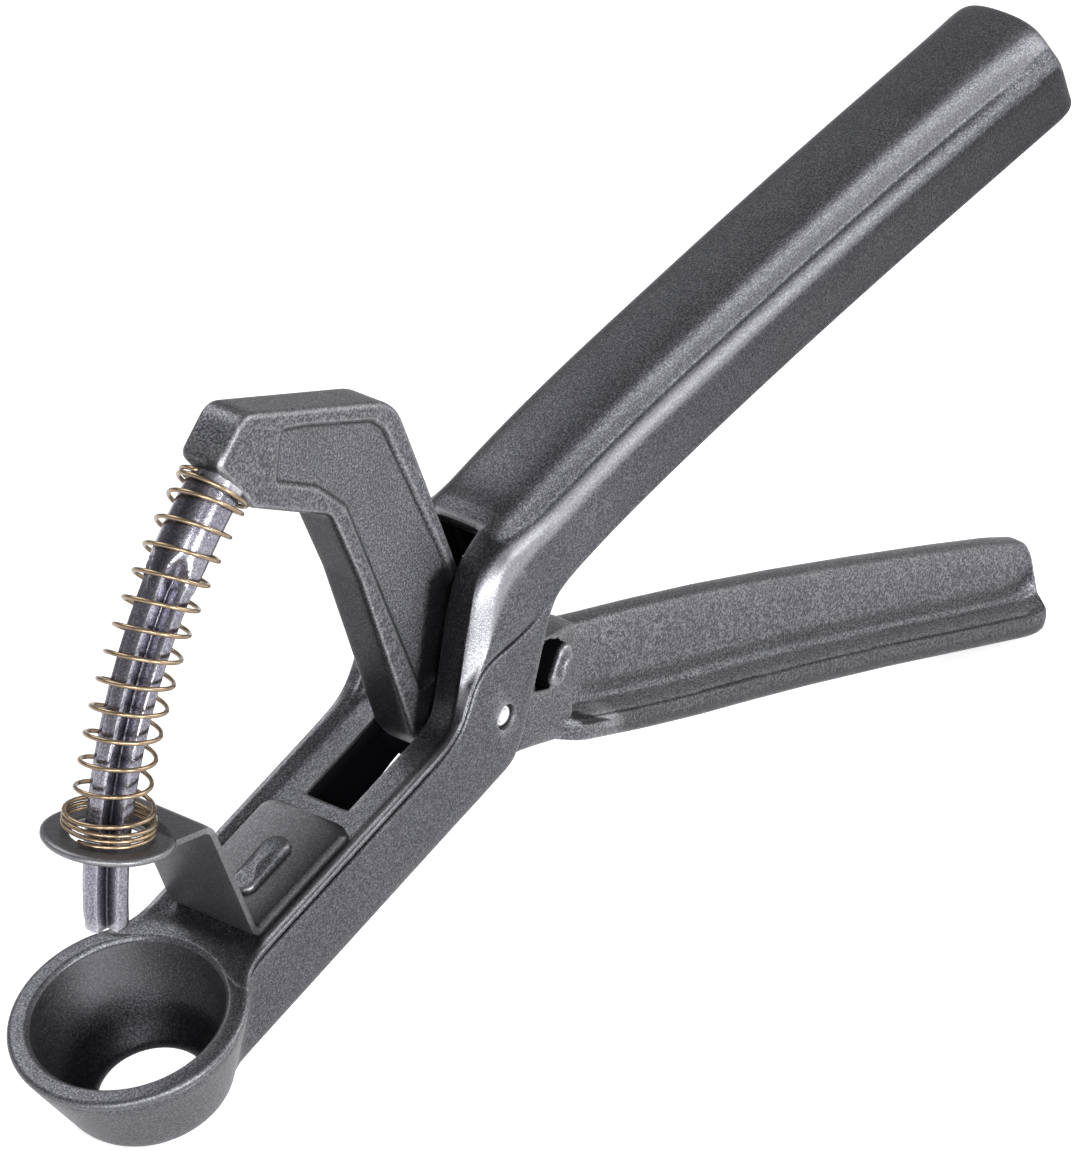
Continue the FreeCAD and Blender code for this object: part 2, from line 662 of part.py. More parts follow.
def add_neck(body):
    side = new_sketch(body, "neck_outline")
    draw_outline(side, [
        ("pivotReach - armAhead + neckInset", "- pivotDrop - neckInset"),
        ("pivotReach - armAhead + 0.6 * hubRadius", "- pivotDrop - 0.7 * hubDrop"),
        ("pivotReach - 0.5 * hubRadius", "- pivotDrop - hubDrop"),
        ("pivotReach + neckBehind", "- neckDrop"),
        ("pivotReach + leverBehind - hubRadius", "- 2 * leverDrop"),
        ("pivotReach + leverBehind - neckInset", "- leverDrop - neckInset"),
        ("pivotReach + armBehind", "- 1.5 * neckInset"),
        ("pivotReach", "- pivotDrop + hubRadius"),
        ("pivotReach - hubRadius + hubCorner", "- pivotDrop + 0.6 * hubRadius"),
        ("pivotReach - hubRadius", "- pivotDrop - neckInset"),
    ])
    pad_both_ways(body, "neck", side, "hubHalf")


def add_lower_handle(body):
    web = new_sketch(body, "web_outline")
    draw_outline(web, [
        ("pivotReach + armBehind", "- leverDrop"),
        ("pivotReach + hubRadius", "- pivotDrop - hubDrop"),
        ("pivotReach + neckBehind", "- neckDrop", "leverBottomRadius", "right"),
        ("pivotReach + leverTipBehind", "- leverTipDrop"),
        ("pivotReach + leverTopBehind", "- leverTopDrop", "leverTopRadius", "left"),
        ("pivotReach + leverBehind", "- leverDrop"),
    ])
    pad_both_ways(body, "web", web, "webHalf")
    lip = new_sketch(body, "lip_outline")
    draw_outline(lip, [
        ("pivotReach + neckBehind", "- neckDrop", "leverBottomRadius", "right"),
        ("pivotReach + leverTipBehind", "- leverTipDrop"),
        ("pivotReach + leverTipBehind + lipLean * lipHeight", "- leverTipDrop + lipHeight",
         "leverBottomRadius", "left"),
        ("pivotReach + neckBehind", "- neckDrop + lipHeight"),
    ])
    pad_both_ways(body, "lip", lip, "lipHalf")


def sink_arm_panels(body):
    """Sink a panel into each side of the arm."""
    for side, name in ((1, "near"), (-1, "far")):
        panel = raised_sketch(body, f"{name}_panel_outline", "XZ_Plane", "armHalf" if side > 0 else "- armHalf")
        draw_outline(panel, [
            (f"{head_inner[0]} + 1.5 * armRim", head_inner[1]),
            ("pivotReach - crookAhead + armRim", "crookHeight"),
            ("pivotReach - armAhead + 1.5 * armRim", "armRim"),
            ("pivotReach + armBehind - 1.5 * armRim", "armRim"),
            ("pivotReach + elbowBehind - 1.5 * armRim", "elbowHeight - 0.6 * armRim"),
            (f"{arm_crest[0]} + 1.5 * armRim", f"{arm_crest[1]} - 2.7 * armRim"),
        ])
        pocket_one_way(body, f"{name}_panel", panel, "panelDepth", reverse=side < 0)


def add_neck_bosses(body):
    """Oval boss on each side of the neck."""
    side = new_sketch(body, "neck_boss_outline")
    draw_oblong(side, "pivotReach + bossBehind", "- bossDrop", "bossHalfLength", "bossHalfWidth", along_x=False)
    pad_both_ways(body, "neck_bosses", side, "hubHalf + bossHeight")


def cut_lever_bores(body):
    """Bore for the pin, and the curved socket that the punch's shank is pressed into."""
    bore = new_sketch(body, "lever_bore_section")
    draw_circle(bore, *pivot, "pinRadius + pinClearance")
    pocket_both_ways(body, "lever_bore", bore, "2 * hubHalf")
    socket = radial_sketch(body, "socket_section", pivot, shoulder_turn)
    draw_circle(socket, "0", path_radius, "shankRadius")
    turned(body, "Groove", "socket", socket, bound("shankSweep"), "0")


def make_punch():
    """Curved punch: a shank in the arm's head, a round collar and a cross of four ribs."""
    body = new_body("punch")
    shank = radial_sketch(body, "shank_section", pivot, shoulder_turn)
    draw_circle(shank, "0", path_radius, "shankRadius")
    turned(body, "Revolution", "shank", shank, bound("shankSweep"), bound("collarSweep"))
    collar = radial_sketch(body, "collar_section", pivot, shoulder_turn)
    draw_circle(collar, "0", path_radius, "collarRadius")
    turned(body, "Revolution", "collar", collar, "0", bound("collarSweep"))
    for name, across, along in (("flat", "ribRadius", "ribHalf"), ("upright", "ribHalf", "ribRadius")):
        rib = radial_sketch(body, f"{name}_rib_section", pivot, shoulder_turn)
        draw_outline(rib, [
            (f"- {across}", f"{path_radius} - {along}"),
            (across, f"{path_radius} - {along}"),
            (across, f"{path_radius} + {along}"),
            (f"- {across}", f"{path_radius} + {along}"),
        ])
        turned(body, "Revolution", f"{name}_rib", rib, "0", bound("punchSweep"))
    hollow = radial_sketch(body, "tip_section", pivot, tip_turn)
    draw_circle(hollow, "0", path_radius, "2 * ribHalf")
    pocket = pocket_one_way(body, "tip_hollow", hollow, "tipHollow", reverse=True)
    pocket.TaperAngle = -45
    cut(pocket)
    return body


def coil_point(turn):
    """Middle of the spring's wire after a number of turns from the arm."""
    pivot = Vector(size["pivotReach"], 0, -size["pivotDrop"])
    path = number(path_radius)
    ends = size["topTurns"] + size["seatTurns"]
    length = math.radians(size["discAngle"] - size["headAngle"]) * path
    open_pitch = length - 2 * (size["wireRadius"] + size["springGap"]) - ends * size["closedPitch"]
    open_pitch /= size["openTurns"]
    opened = min(max(turn - size["topTurns"], 0), size["openTurns"])
    along = size["wireRadius"] + size["springGap"] + opened * open_pitch + (turn - opened) * size["closedPitch"]
    share = min(max(turn - size["topTurns"] - size["openTurns"] + 1, 0), 1)
    ease = share * share * (3 - 2 * share)
    radius = size["coilRadius"] + (size["seatCoilRadius"] - size["coilRadius"]) * ease
    angle = math.radians(size["headAngle"]) + along / path
    reach = path + radius * math.cos(2 * math.pi * turn)
    sideways = radius * math.sin(2 * math.pi * turn)
    return pivot + Vector(reach * math.cos(angle), sideways, reach * math.sin(angle))


def make_return_spring():
    """Compression spring bent along the punch's path, as short arcs that follow one another."""
    turns = size["topTurns"] + size["openTurns"] + size["seatTurns"]
    arcs_per_turn = 4
    arcs = []
    for index in range(round(turns * arcs_per_turn)):
        spots = [coil_point((index + step) / arcs_per_turn) for step in (0, 0.5, 1)]
        arcs.append(Part.Arc(*spots).toShape())
    along = arcs[0].tangentAt(arcs[0].FirstParameter)
    section = Part.Wire(Part.Circle(coil_point(0), along, size["wireRadius"]).toShape())
    spring = document.addObject("Part::Feature", "return_spring")
    spring.Label = "return_spring"
    spring.Shape = Part.Wire(arcs).makePipeShell([section], True, False)
    return spring


def standing_tilt():
    """Degrees that the tool is turned by to stand on the cup's foot and the lower handle's tip."""
    foot = (-number("footRadius - footRound"), -number("cupDepth - footRound"))
    tip = (number("pivotReach + leverTipBehind"), -size["leverTipDrop"])
    slope = math.atan2(foot[1] - tip[1], tip[0] - foot[0])
    return math.degrees(slope - math.asin(size["footRound"] / math.dist(foot, tip)))


pieces = [
    make_cup_lever(),
    make_stripper_plate(),
    make_pivot_pin(),
    make_punch_lever(),
    make_punch(),
    make_return_spring(),
]
document.recompute()

# The tool is tilted to stand, and its box's middle goes over the origin at floor height.
tilt = Rotation(Vector(0, 1, 0), -standing_tilt())
tilted = Part.makeCompound([piece.Shape for piece in pieces])
tilted.Placement = Placement(Vector(), tilt)
box = tilted.optimalBoundingBox(False, False)
standing = Placement(Vector(-box.Center.x, -box.Center.y, -box.ZMin), tilt)
for piece in pieces:
    piece.Placement = standing
document.recompute()

faults = [item.Name for item in document.Objects if {"Invalid", "Error"} & set(item.State)]
faults += [piece.Label for piece in pieces if piece.Shape.isNull() or not piece.Shape.isValid()]
if faults:
    raise RuntimeError(f"failed: {', '.join(faults)}")

os.makedirs("parts", exist_ok=True)
for piece in pieces:
    piece.Shape.exportStep(f"parts/{piece.Label}.step")
    print(piece.Label, len(piece.Shape.Solids), round(piece.Shape.Volume, 1))
print("pivot", standing.multVec(Vector(size["pivotReach"], 0, -size["pivotDrop"])), "tilt", standing_tilt())
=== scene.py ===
import json
import math
import bmesh
import bpy
from mathutils import Matrix, Vector


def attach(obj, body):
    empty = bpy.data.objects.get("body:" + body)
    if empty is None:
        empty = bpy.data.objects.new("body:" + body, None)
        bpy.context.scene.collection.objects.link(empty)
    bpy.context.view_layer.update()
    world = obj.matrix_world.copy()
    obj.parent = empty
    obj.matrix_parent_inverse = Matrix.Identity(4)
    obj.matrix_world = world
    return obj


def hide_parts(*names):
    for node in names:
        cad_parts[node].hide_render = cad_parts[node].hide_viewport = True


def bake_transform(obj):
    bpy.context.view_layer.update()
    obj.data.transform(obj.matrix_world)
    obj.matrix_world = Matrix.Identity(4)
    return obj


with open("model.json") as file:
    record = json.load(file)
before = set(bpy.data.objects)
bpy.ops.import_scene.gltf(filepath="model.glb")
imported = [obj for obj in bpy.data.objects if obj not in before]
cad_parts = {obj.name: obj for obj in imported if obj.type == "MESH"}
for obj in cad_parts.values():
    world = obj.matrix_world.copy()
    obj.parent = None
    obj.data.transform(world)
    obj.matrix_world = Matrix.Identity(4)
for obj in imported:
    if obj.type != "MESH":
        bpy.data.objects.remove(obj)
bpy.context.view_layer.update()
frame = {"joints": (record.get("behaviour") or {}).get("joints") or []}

pivotSpot = Vector(frame["joints"][0]["pos_m"])

# Shapes below are in mm in the tool's own frame: the cup's rim circle is round the origin, x runs along the
# beam to the handles, z up the cup's axis. The tool stands tilted on the floor, with its pivot at pivotSpot.
standing = {"pivotX": 64.2, "pivotZ": -4.0, "tilt": math.radians(21.970441669651855)}


def turned(x, y, z):
    c, s = math.cos(standing["tilt"]), math.sin(standing["tilt"])
    return Vector((x * c - z * s, y, x * s + z * c))


def place(x, y, z):
    return pivotSpot + turned(x - standing["pivotX"], y, z - standing["pivotZ"]) * 0.001


def unplaced(spot):
    x, y, z = (spot - pivotSpot) * 1000
    c, s = math.cos(standing["tilt"]), math.sin(standing["tilt"])
    return x * c + z * s + standing["pivotX"], y, z * c - x * s + standing["pivotZ"]


# ---- camera
view = {
    "right": (0.59067113, -0.78151486, -0.20085354),
    "down": (-0.64366671, -0.30622987, -0.70136754),
    "forward": (0.48662181, 0.54356029, -0.68391624),
    "spot": (-520.72616, -675.76744, 847.00861),
    "focal": 9840.02,
    "longSide": 1172,
}

camera = bpy.data.objects.new("camera", bpy.data.cameras.new("camera"))
bpy.context.scene.collection.objects.link(camera)
axes = [turned(*view["right"]), -turned(*view["down"]), -turned(*view["forward"])]
camera.matrix_world = Matrix([list(row) for row in zip(*axes)]).to_4x4()
camera.location = place(*view["spot"])
camera.data.sensor_fit = "AUTO"
camera.data.sensor_width = 36
camera.data.lens = view["focal"] / view["longSide"] * 36
camera.data.clip_end = 20
bpy.context.scene.camera = camera
print("camera set")

# ---- small helpers
meshFine = {
    "sameSpot": 2e-7,  # points nearer than this many metres are joined
    "brightTurn": 0.0006,  # an edge that turns by a radian over this many metres is fully bright
}


def mixed(a, b, share):
    return a + (b - a) * share


def eased(share):
    share = min(max(share, 0), 1)
    return share * share * (3 - 2 * share)


def bell(x, middle, width):
    return math.exp(-(((x - middle) / width) ** 2))


def tableAt(table, x):
    # straight-line value between (x, value) pairs
    if x <= table[0][0]:
        return table[0][1]
    for (x0, v0), (x1, v1) in zip(table, table[1:]):
        if x <= x1:
            return mixed(v0, v1, (x - x0) / (x1 - x0))
    return table[-1][1]


def cross(a, b):
    return a.x * b.y - a.y * b.x


def circle(count):
    # cosine and sine at even steps round a circle
    return [(math.cos(2 * math.pi * k / count), math.sin(2 * math.pi * k / count)) for k in range(count)]


def roundedLoop(corners, step=0.7, leastRadius=0.05, flattest=1.5):
    # closed loop of (x, z) from (x, z, radius) corners; a smaller radius or a flatter corner is left as a point
    loop = []
    count = len(corners)
    for index, (x, z, radius) in enumerate(corners):
        here = Vector((x, z))
        before = (Vector(corners[index - 1][:2]) - here).normalized()
        after = (Vector(corners[(index + 1) % count][:2]) - here).normalized()
        half = before.angle(after) / 2
        if radius < leastRadius or half > flattest:
            loop.append(here)
            continue
        reach = radius / math.tan(half)
        middle = here + (before + after).normalized() * (radius / math.sin(half))
        first, last = here + before * reach - middle, here + after * reach - middle
        sweep = math.pi - 2 * half
        side = 1 if cross(first, last) > 0 else -1
        parts = max(3, round(radius * sweep / step))
        for part in range(parts + 1):
            angle = side * sweep * part / parts
            c, s = math.cos(angle), math.sin(angle)
            loop.append(middle + Vector((first.x * c - first.y * s, first.x * s + first.y * c)))
    return loop


def shifted(loop, inward, leastShare=0.5):
    # the loop moved inwards by that much
    side = 1 if sum(cross(a, b) for a, b in zip(loop, loop[1:] + loop[:1])) > 0 else -1
    result = []
    for index, spot in enumerate(loop):
        before = (spot - loop[index - 1]).normalized()
        after = (loop[(index + 1) % len(loop)] - spot).normalized()
        normals = [Vector((-d.y, d.x)) * side for d in (before, after)]
        middle = (normals[0] + normals[1]).normalized()
        result.append(spot + middle * (inward / max(middle.dot(normals[0]), leastShare)))
    return result


def addGrid(bm, rows, closedAcross=False, closedAlong=False, skip=None):
    points = [[bm.verts.new(spot) for spot in row] for row in rows]
    rowCount, columnCount = len(rows), len(rows[0])
    for i in range(rowCount if closedAlong else rowCount - 1):
        for j in range(columnCount if closedAcross else columnCount - 1):
            if skip and skip(i, j):
                continue
            a, b = points[i], points[(i + 1) % rowCount]
            k = (j + 1) % columnCount
            bm.faces.new((a[j], a[k], b[k], b[j]))
    return points


def addTube(bm, rows, capFirst=True, capLast=True):
    # closed loops joined one after another, with a face over each end that is capped
    points = addGrid(bm, rows, closedAcross=True)
    if capFirst:
        bm.faces.new(points[0])
    if capLast:
        bm.faces.new(points[-1])
    return points


def addHalves(bm, rows):
    # both halves of a body from half sections of (x, y, z), with the ends closed
    for side in (1, -1):
        points = addGrid(bm, [[place(x, y * side, z) for x, y, z in row] for row in rows])
        bm.faces.new(points[0])
        bm.faces.new(points[-1])


def newObject(name, bm):
    mesh = bpy.data.meshes.new(name)
    bm.to_mesh(mesh)
    bm.free()
    item = bpy.data.objects.new(name, mesh)
    bpy.context.scene.collection.objects.link(item)
    return item


def makePiece(name, bm, body, node, slot, material, sharp=180.0, levels=0, cutters=(), shade=None, paintedLight=None):
    bmesh.ops.remove_doubles(bm, verts=bm.verts, dist=meshFine["sameSpot"])
    bmesh.ops.recalc_face_normals(bm, faces=bm.faces)
    piece = newObject(name, bm)
    if levels:
        rounding = piece.modifiers.new("rounding", "SUBSURF")
        rounding.levels = rounding.render_levels = levels
    for cutter in cutters:
        recess = piece.modifiers.new("recess", "BOOLEAN")
        recess.operation = "DIFFERENCE"
        recess.object = cutter
    if piece.modifiers:
        baked = bpy.data.meshes.new_from_object(piece.evaluated_get(bpy.context.evaluated_depsgraph_get()))
        piece.modifiers.clear()
        piece.data = baked
        baked.name = name
    for cutter in cutters:
        bpy.data.objects.remove(cutter)
    mesh = piece.data
    for face in mesh.polygons:
        face.use_smooth = True
    if sharp < 180:
        mesh.set_sharp_from_angle(angle=math.radians(sharp))
    mesh.materials.clear()
    mesh.materials.append(material)
    markEdges(mesh, shade, paintedLight)
    if body:
        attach(piece, body)
    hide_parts(node)
    return piece


def makeCutter(loop, low, high):
    # closed prism over a loop of (x, z), from one side distance to the other
    bm = bmesh.new()
    addTube(bm, [[place(x, y, z) for x, z in loop] for y in (low, high)])
    bmesh.ops.recalc_face_normals(bm, faces=bm.faces)
    return newObject("cutter", bm)


def markEdges(mesh, shade=None, paintedLight=None, spread=2):
    # the edge attribute is 1 where the coating is worn thin and bright on outer edges, and also carries painted
    # highlights; the second attribute is painted shade, 1 where shade is painted in grooves, recesses and on darker
    # sides
    bm = bmesh.new()
    bm.from_mesh(mesh)
    bm.normal_update()
    wearAndHighlight = [0.0] * len(bm.verts)
    for vert in bm.verts:
        total, length = 0.0, 0.0
        for edge in vert.link_edges:
            if len(edge.link_faces) == 2:
                total += edge.calc_face_angle_signed(0)
                length += edge.calc_length()
        wearAndHighlight[vert.index] = min(max(total / max(length, 1e-6) * meshFine["brightTurn"], 0.0), 1.0)
    for _ in range(spread):
        wearAndHighlight = [
            0.5 * wearAndHighlight[vert.index] + 0.5 * sum(wearAndHighlight[edge.other_vert(vert).index] for edge in vert.link_edges)
            / max(len(vert.link_edges), 1)
            for vert in bm.verts
        ]
    spots = [unplaced(vert.co) for vert in bm.verts]
    bm.free()
    if paintedLight:
        wearAndHighlight = [min(value + paintedLight(*spot), 1.0) for value, spot in zip(wearAndHighlight, spots)]
    hollow = [shade(*spot) for spot in spots] if shade else [0.0] * len(spots)
    for name, values in (("edge", wearAndHighlight), ("hollow", hollow)):
        layer = mesh.attributes.new(name, "FLOAT", "POINT")
        layer.data.foreach_set("value", values)


# ---- materials
def feed(tree, socket, value):
    # an input takes a constant or another node's output
    if isinstance(value, bpy.types.NodeSocket):
        tree.links.new(value, socket)
    else:
        socket.default_value = value


def setInputs(tree, node, **values):
    # an underscore stands for a space in the input's name
    for label, value in values.items():
        feed(tree, node.inputs[label.replace("_", " ")], value)


def addNode(tree, kind, **values):
    node = tree.nodes.new("ShaderNode" + kind)
    setInputs(tree, node, **values)
    return node


def mathNode(tree, operation, *values):
    node = addNode(tree, "Math")
    node.operation = operation
    for socket, value in zip(node.inputs, values):
        feed(tree, socket, value)
    return node.outputs[0]


def mixNode(tree, share, first, second):
    node = addNode(tree, "Mix")
    node.data_type = "RGBA"
    for index, value in ((0, share), (6, first), (7, second)):
        feed(tree, node.inputs[index], value)
    return node.outputs[2]


def noiseNode(tree, **values):
    spot = addNode(tree, "TexCoord").outputs["Object"]
    return addNode(tree, "TexNoise", Vector=spot, **values).outputs["Fac"]


def rangeNode(tree, value, low, high):
    return addNode(tree, "MapRange", Value=value, From_Min=low, From_Max=high).outputs[0]


lacquerLook = {
    "cellShare": 0.85,  # scale of the glinting cells to that of the grain
    "cloudScale": 160.0,
    "flakeRange": (0.42, 0.68),
    "glintRange": (0.78, 1.0),
    "glintShare": 0.5,
    "cloudTone": (0.7, 0.65),  # factor and offset by which the clouds change the flakes
    # near-black colour that the painted shade mixes towards
    "hollow": (0.004, 0.004, 0.005, 1),
    "flakeSmooth": -0.12,
    "cloudRough": 0.06,
    "relief": 0.00006,
    "mattAt": 0.96,  # from this much painted shade on, no metal shows
    "specular": 0.5,
}


def buildSpeckle():
    # fine metallic flakes in a dark lacquer
    tree = bpy.data.node_groups.new("flakedLacquer", "ShaderNodeTree")
    # the edge input lightens towards the flake colour for worn edges and painted highlights; the shade input mixes in
    # painted shade
    for way, kind, labels in (
        ("INPUT", "NodeSocketColor", ("Dark", "Flake")),
        ("INPUT", "NodeSocketFloat", ("Grain Scale", "Amount", "Edge", "Edge Lift", "Hollow", "Base Roughness")),
        ("OUTPUT", "NodeSocketColor", ("Color",)),
        ("OUTPUT", "NodeSocketFloat", ("Roughness", "Height")),
    ):
        for label in labels:
            tree.interface.new_socket(label, in_out=way, socket_type=kind)
    given, out = tree.nodes.new("NodeGroupInput"), tree.nodes.new("NodeGroupOutput")
    give, look = given.outputs, lacquerLook
    fine = noiseNode(tree, Scale=give["Grain Scale"], Detail=2.0, Roughness=0.65)
    cloud = noiseNode(tree, Scale=look["cloudScale"], Detail=3.0)
    cells = addNode(
        tree, "TexVoronoi", Vector=addNode(tree, "TexCoord").outputs["Object"],
        Scale=mathNode(tree, "MULTIPLY", give["Grain Scale"], look["cellShare"]),
    )
    flake = rangeNode(tree, fine, *look["flakeRange"])
    glint = rangeNode(tree, cells.outputs["Color"], *look["glintRange"])
    seen = mathNode(tree, "ADD", flake, mathNode(tree, "MULTIPLY", glint, look["glintShare"]))
    patchy = mathNode(tree, "MULTIPLY_ADD", cloud, *look["cloudTone"])
    share = mathNode(tree, "MULTIPLY", mathNode(tree, "MULTIPLY", seen, give["Amount"]), patchy)
    edge = mathNode(tree, "MULTIPLY", give["Edge"], give["Edge Lift"])
    total = mathNode(tree, "MINIMUM", mathNode(tree, "ADD", share, edge), 1.0)
    tone = mixNode(tree, total, give["Dark"], give["Flake"])
    rough = mathNode(tree, "MULTIPLY_ADD", share, look["flakeSmooth"], give["Base Roughness"])
    setInputs(
        tree, out, Color=mixNode(tree, give["Hollow"], tone, look["hollow"]),
        Roughness=mathNode(tree, "MULTIPLY_ADD", cloud, look["cloudRough"], rough),
        Height=mathNode(tree, "ADD", fine, glint),
    )
    return tree


def newMaterial(name):
    material = bpy.data.materials.new(name)
    material.use_nodes = True
    tree = material.node_tree
    return material, tree, tree.nodes["Principled BSDF"]


def meshValue(tree, name):
    node = addNode(tree, "Attribute")
    node.attribute_name = name
    return node.outputs["Fac"]


def coatedMetal(name, metallic, bump, **values):
    material, tree, shader = newMaterial(name)
    # painted shade from the mesh darkens the colour and takes away metal and specular; the edge value adds edge wear
    # and painted highlights
    hollow = meshValue(tree, "hollow")
    lacquer = addNode(tree, "Group")
    lacquer.node_tree = flakedLacquer
    setInputs(tree, lacquer, Edge=meshValue(tree, "edge"), Hollow=hollow, **values)
    relief = addNode(
        tree, "Bump", Strength=bump, Distance=lacquerLook["relief"], Height=lacquer.outputs["Height"],
    )
    coated = mathNode(tree, "LESS_THAN", hollow, lacquerLook["mattAt"])
    lit = mathNode(tree, "SUBTRACT", 1.0, hollow)
    setInputs(
        tree, shader, Base_Color=lacquer.outputs["Color"], Roughness=lacquer.outputs["Roughness"],
        Normal=relief.outputs["Normal"], Metallic=mathNode(tree, "MULTIPLY", coated, metallic),
        Specular_IOR_Level=mathNode(tree, "MULTIPLY", lit, lacquerLook["specular"]),
    )
    return material


def bareMetal(name, metallic, tones, roughness, **grain):
    # tones: dark and light; roughness: factor and offset on the grain
    material, tree, shader = newMaterial(name)
    stain = noiseNode(tree, **grain)
    setInputs(
        tree, shader, Base_Color=mixNode(tree, stain, *tones), Metallic=metallic,
        Roughness=mathNode(tree, "MULTIPLY_ADD", stain, *roughness),
    )
    return material


flakedLacquer = buildSpeckle()
castCoating = coatedMetal(
    "castCoating", 0.85, 0.7, Dark=(0.034, 0.035, 0.041, 1), Flake=(0.52, 0.52, 0.55, 1),
    Grain_Scale=4200.0, Amount=0.22, Edge_Lift=0.3, Base_Roughness=0.38,
)
armCoating = coatedMetal(
    "armCoating", 0.82, 0.85, Dark=(0.04, 0.041, 0.047, 1), Flake=(0.6, 0.6, 0.63, 1),
    Grain_Scale=3600.0, Amount=0.28, Edge_Lift=0.3, Base_Roughness=0.4,
)
sheetCoating = coatedMetal(
    "sheetCoating", 0.75, 0.3, Dark=(0.046, 0.046, 0.051, 1), Flake=(0.34, 0.34, 0.36, 1),
    Grain_Scale=3600.0, Amount=0.2, Edge_Lift=0.6, Base_Roughness=0.36,
)
punchMetal = coatedMetal(
    "punchMetal", 0.97, 0.3, Dark=(0.12, 0.115, 0.15, 1), Flake=(0.8, 0.79, 0.83, 1),
    Grain_Scale=3600.0, Amount=0.28, Edge_Lift=0.6, Base_Roughness=0.2,
)
brassWire = bareMetal(
    "brassWire", 0.9, ((0.1, 0.07, 0.045, 1), (0.4, 0.3, 0.195, 1)), (0.15, 0.2), Scale=420.0, Detail=3.0,
)
pinSteel = bareMetal(
    "turnedSteel", 0.95, ((0.5, 0.5, 0.52, 1), (0.9, 0.9, 0.9, 1)), (0.2, 0.18), Scale=1500.0, Detail=4.0,
)
upperCasting = ("cup_side", "cup_lever", "lever_coating", castCoating)
lowerCasting = ("punch_side", "punch_lever", "lever_coating", armCoating)
print("materials made")

# ---- cup
cup = {
    "segments": 96,
    "sectorHalf": math.radians(46.0),  # the beam joins the cup inside this angle
    "sectorFade": math.radians(6),
    "rim": 12.95,  # under the beam the rim beyond this radius is drawn in and sunk
    "rimDepth": -2.2,
    "drawn": 0.5,
    "sunk": 0.9,
    "outer": [
        (12.3, -0.62), (12.4, -0.42), (12.74, -0.06), (12.95, 0.0), (13.4, 0.0), (14.3, -0.02), (14.75, -0.1),
        (15.08, -0.32), (15.26, -0.68), (15.2, -1.05), (14.98, -1.3), (14.76, -1.4), (14.7, -1.5), (14.8, -1.62),
        (14.8, -1.9), (14.62, -2.6), (13.9, -4.4), (12.9, -7.0), (11.85, -9.7), (11.1, -11.6), (10.7, -12.6),
        (10.1, -13.45), (9.2, -14.05), (8.35, -14.36), (7.5, -14.45), (7.05, -14.4), (6.92, -14.2), (6.9, -13.75),
        (7.02, -13.5), (7.25, -13.0),
    ],
    "bowlCentre": (-7.19, 0.02),
    "bowlRadius": 19.6,
    "bowlSteps": (-12.2, -11.0, -9.4, -7.6, -5.6, -3.6, -2.0, -1.0),
}


def cupShade(x, y, z):
    # painted shade: the cup is darkest low down inside
    reach = math.hypot(x, y)
    return 0.75 * eased((-z - 3.0) / 6.0) * eased((10.9 - reach) / 1.5) if z < -3 and reach < 11 else 0.0


def cupHighlight(x, y, z):
    # painted highlight: brighter high up inside, on the beam's side
    reach, turn = math.hypot(x, y), math.degrees(math.atan2(y, x))
    if reach > 12.55 or z < -9 or z > -0.7:
        return 0.0
    return bell(turn, 54, 28) * eased((z + 9) / 3.5) + 0.25 * bell(turn, 5, 24)


def makeCup():
    profile = list(cup["outer"])
    centre = cup["bowlCentre"]
    for z in cup["bowlSteps"]:
        profile.append((centre[0] + math.sqrt(cup["bowlRadius"] ** 2 - (z - centre[1]) ** 2), z))
    bm = bmesh.new()
    rows = []
    for step in range(cup["segments"]):
        angle = 2 * math.pi * step / cup["segments"]
        away = abs((angle + math.pi) % (2 * math.pi) - math.pi)
        hidden = eased((cup["sectorHalf"] - away) / cup["sectorFade"])
        row = []
        for r, z in profile:
            past = r - cup["rim"]
            if past > 0 and z > cup["rimDepth"]:
                r, z = mixed(r, cup["rim"] + past * cup["drawn"], hidden), z - cup["sunk"] * past * hidden
            row.append(place(r * math.cos(angle), r * math.sin(angle), z))
        rows.append(row)
    addGrid(bm, rows, closedAcross=True, closedAlong=True)
    return makePiece("cup", bm, *upperCasting, levels=1, shade=cupShade, paintedLight=cupHighlight)


makeCup()
print("cup made")

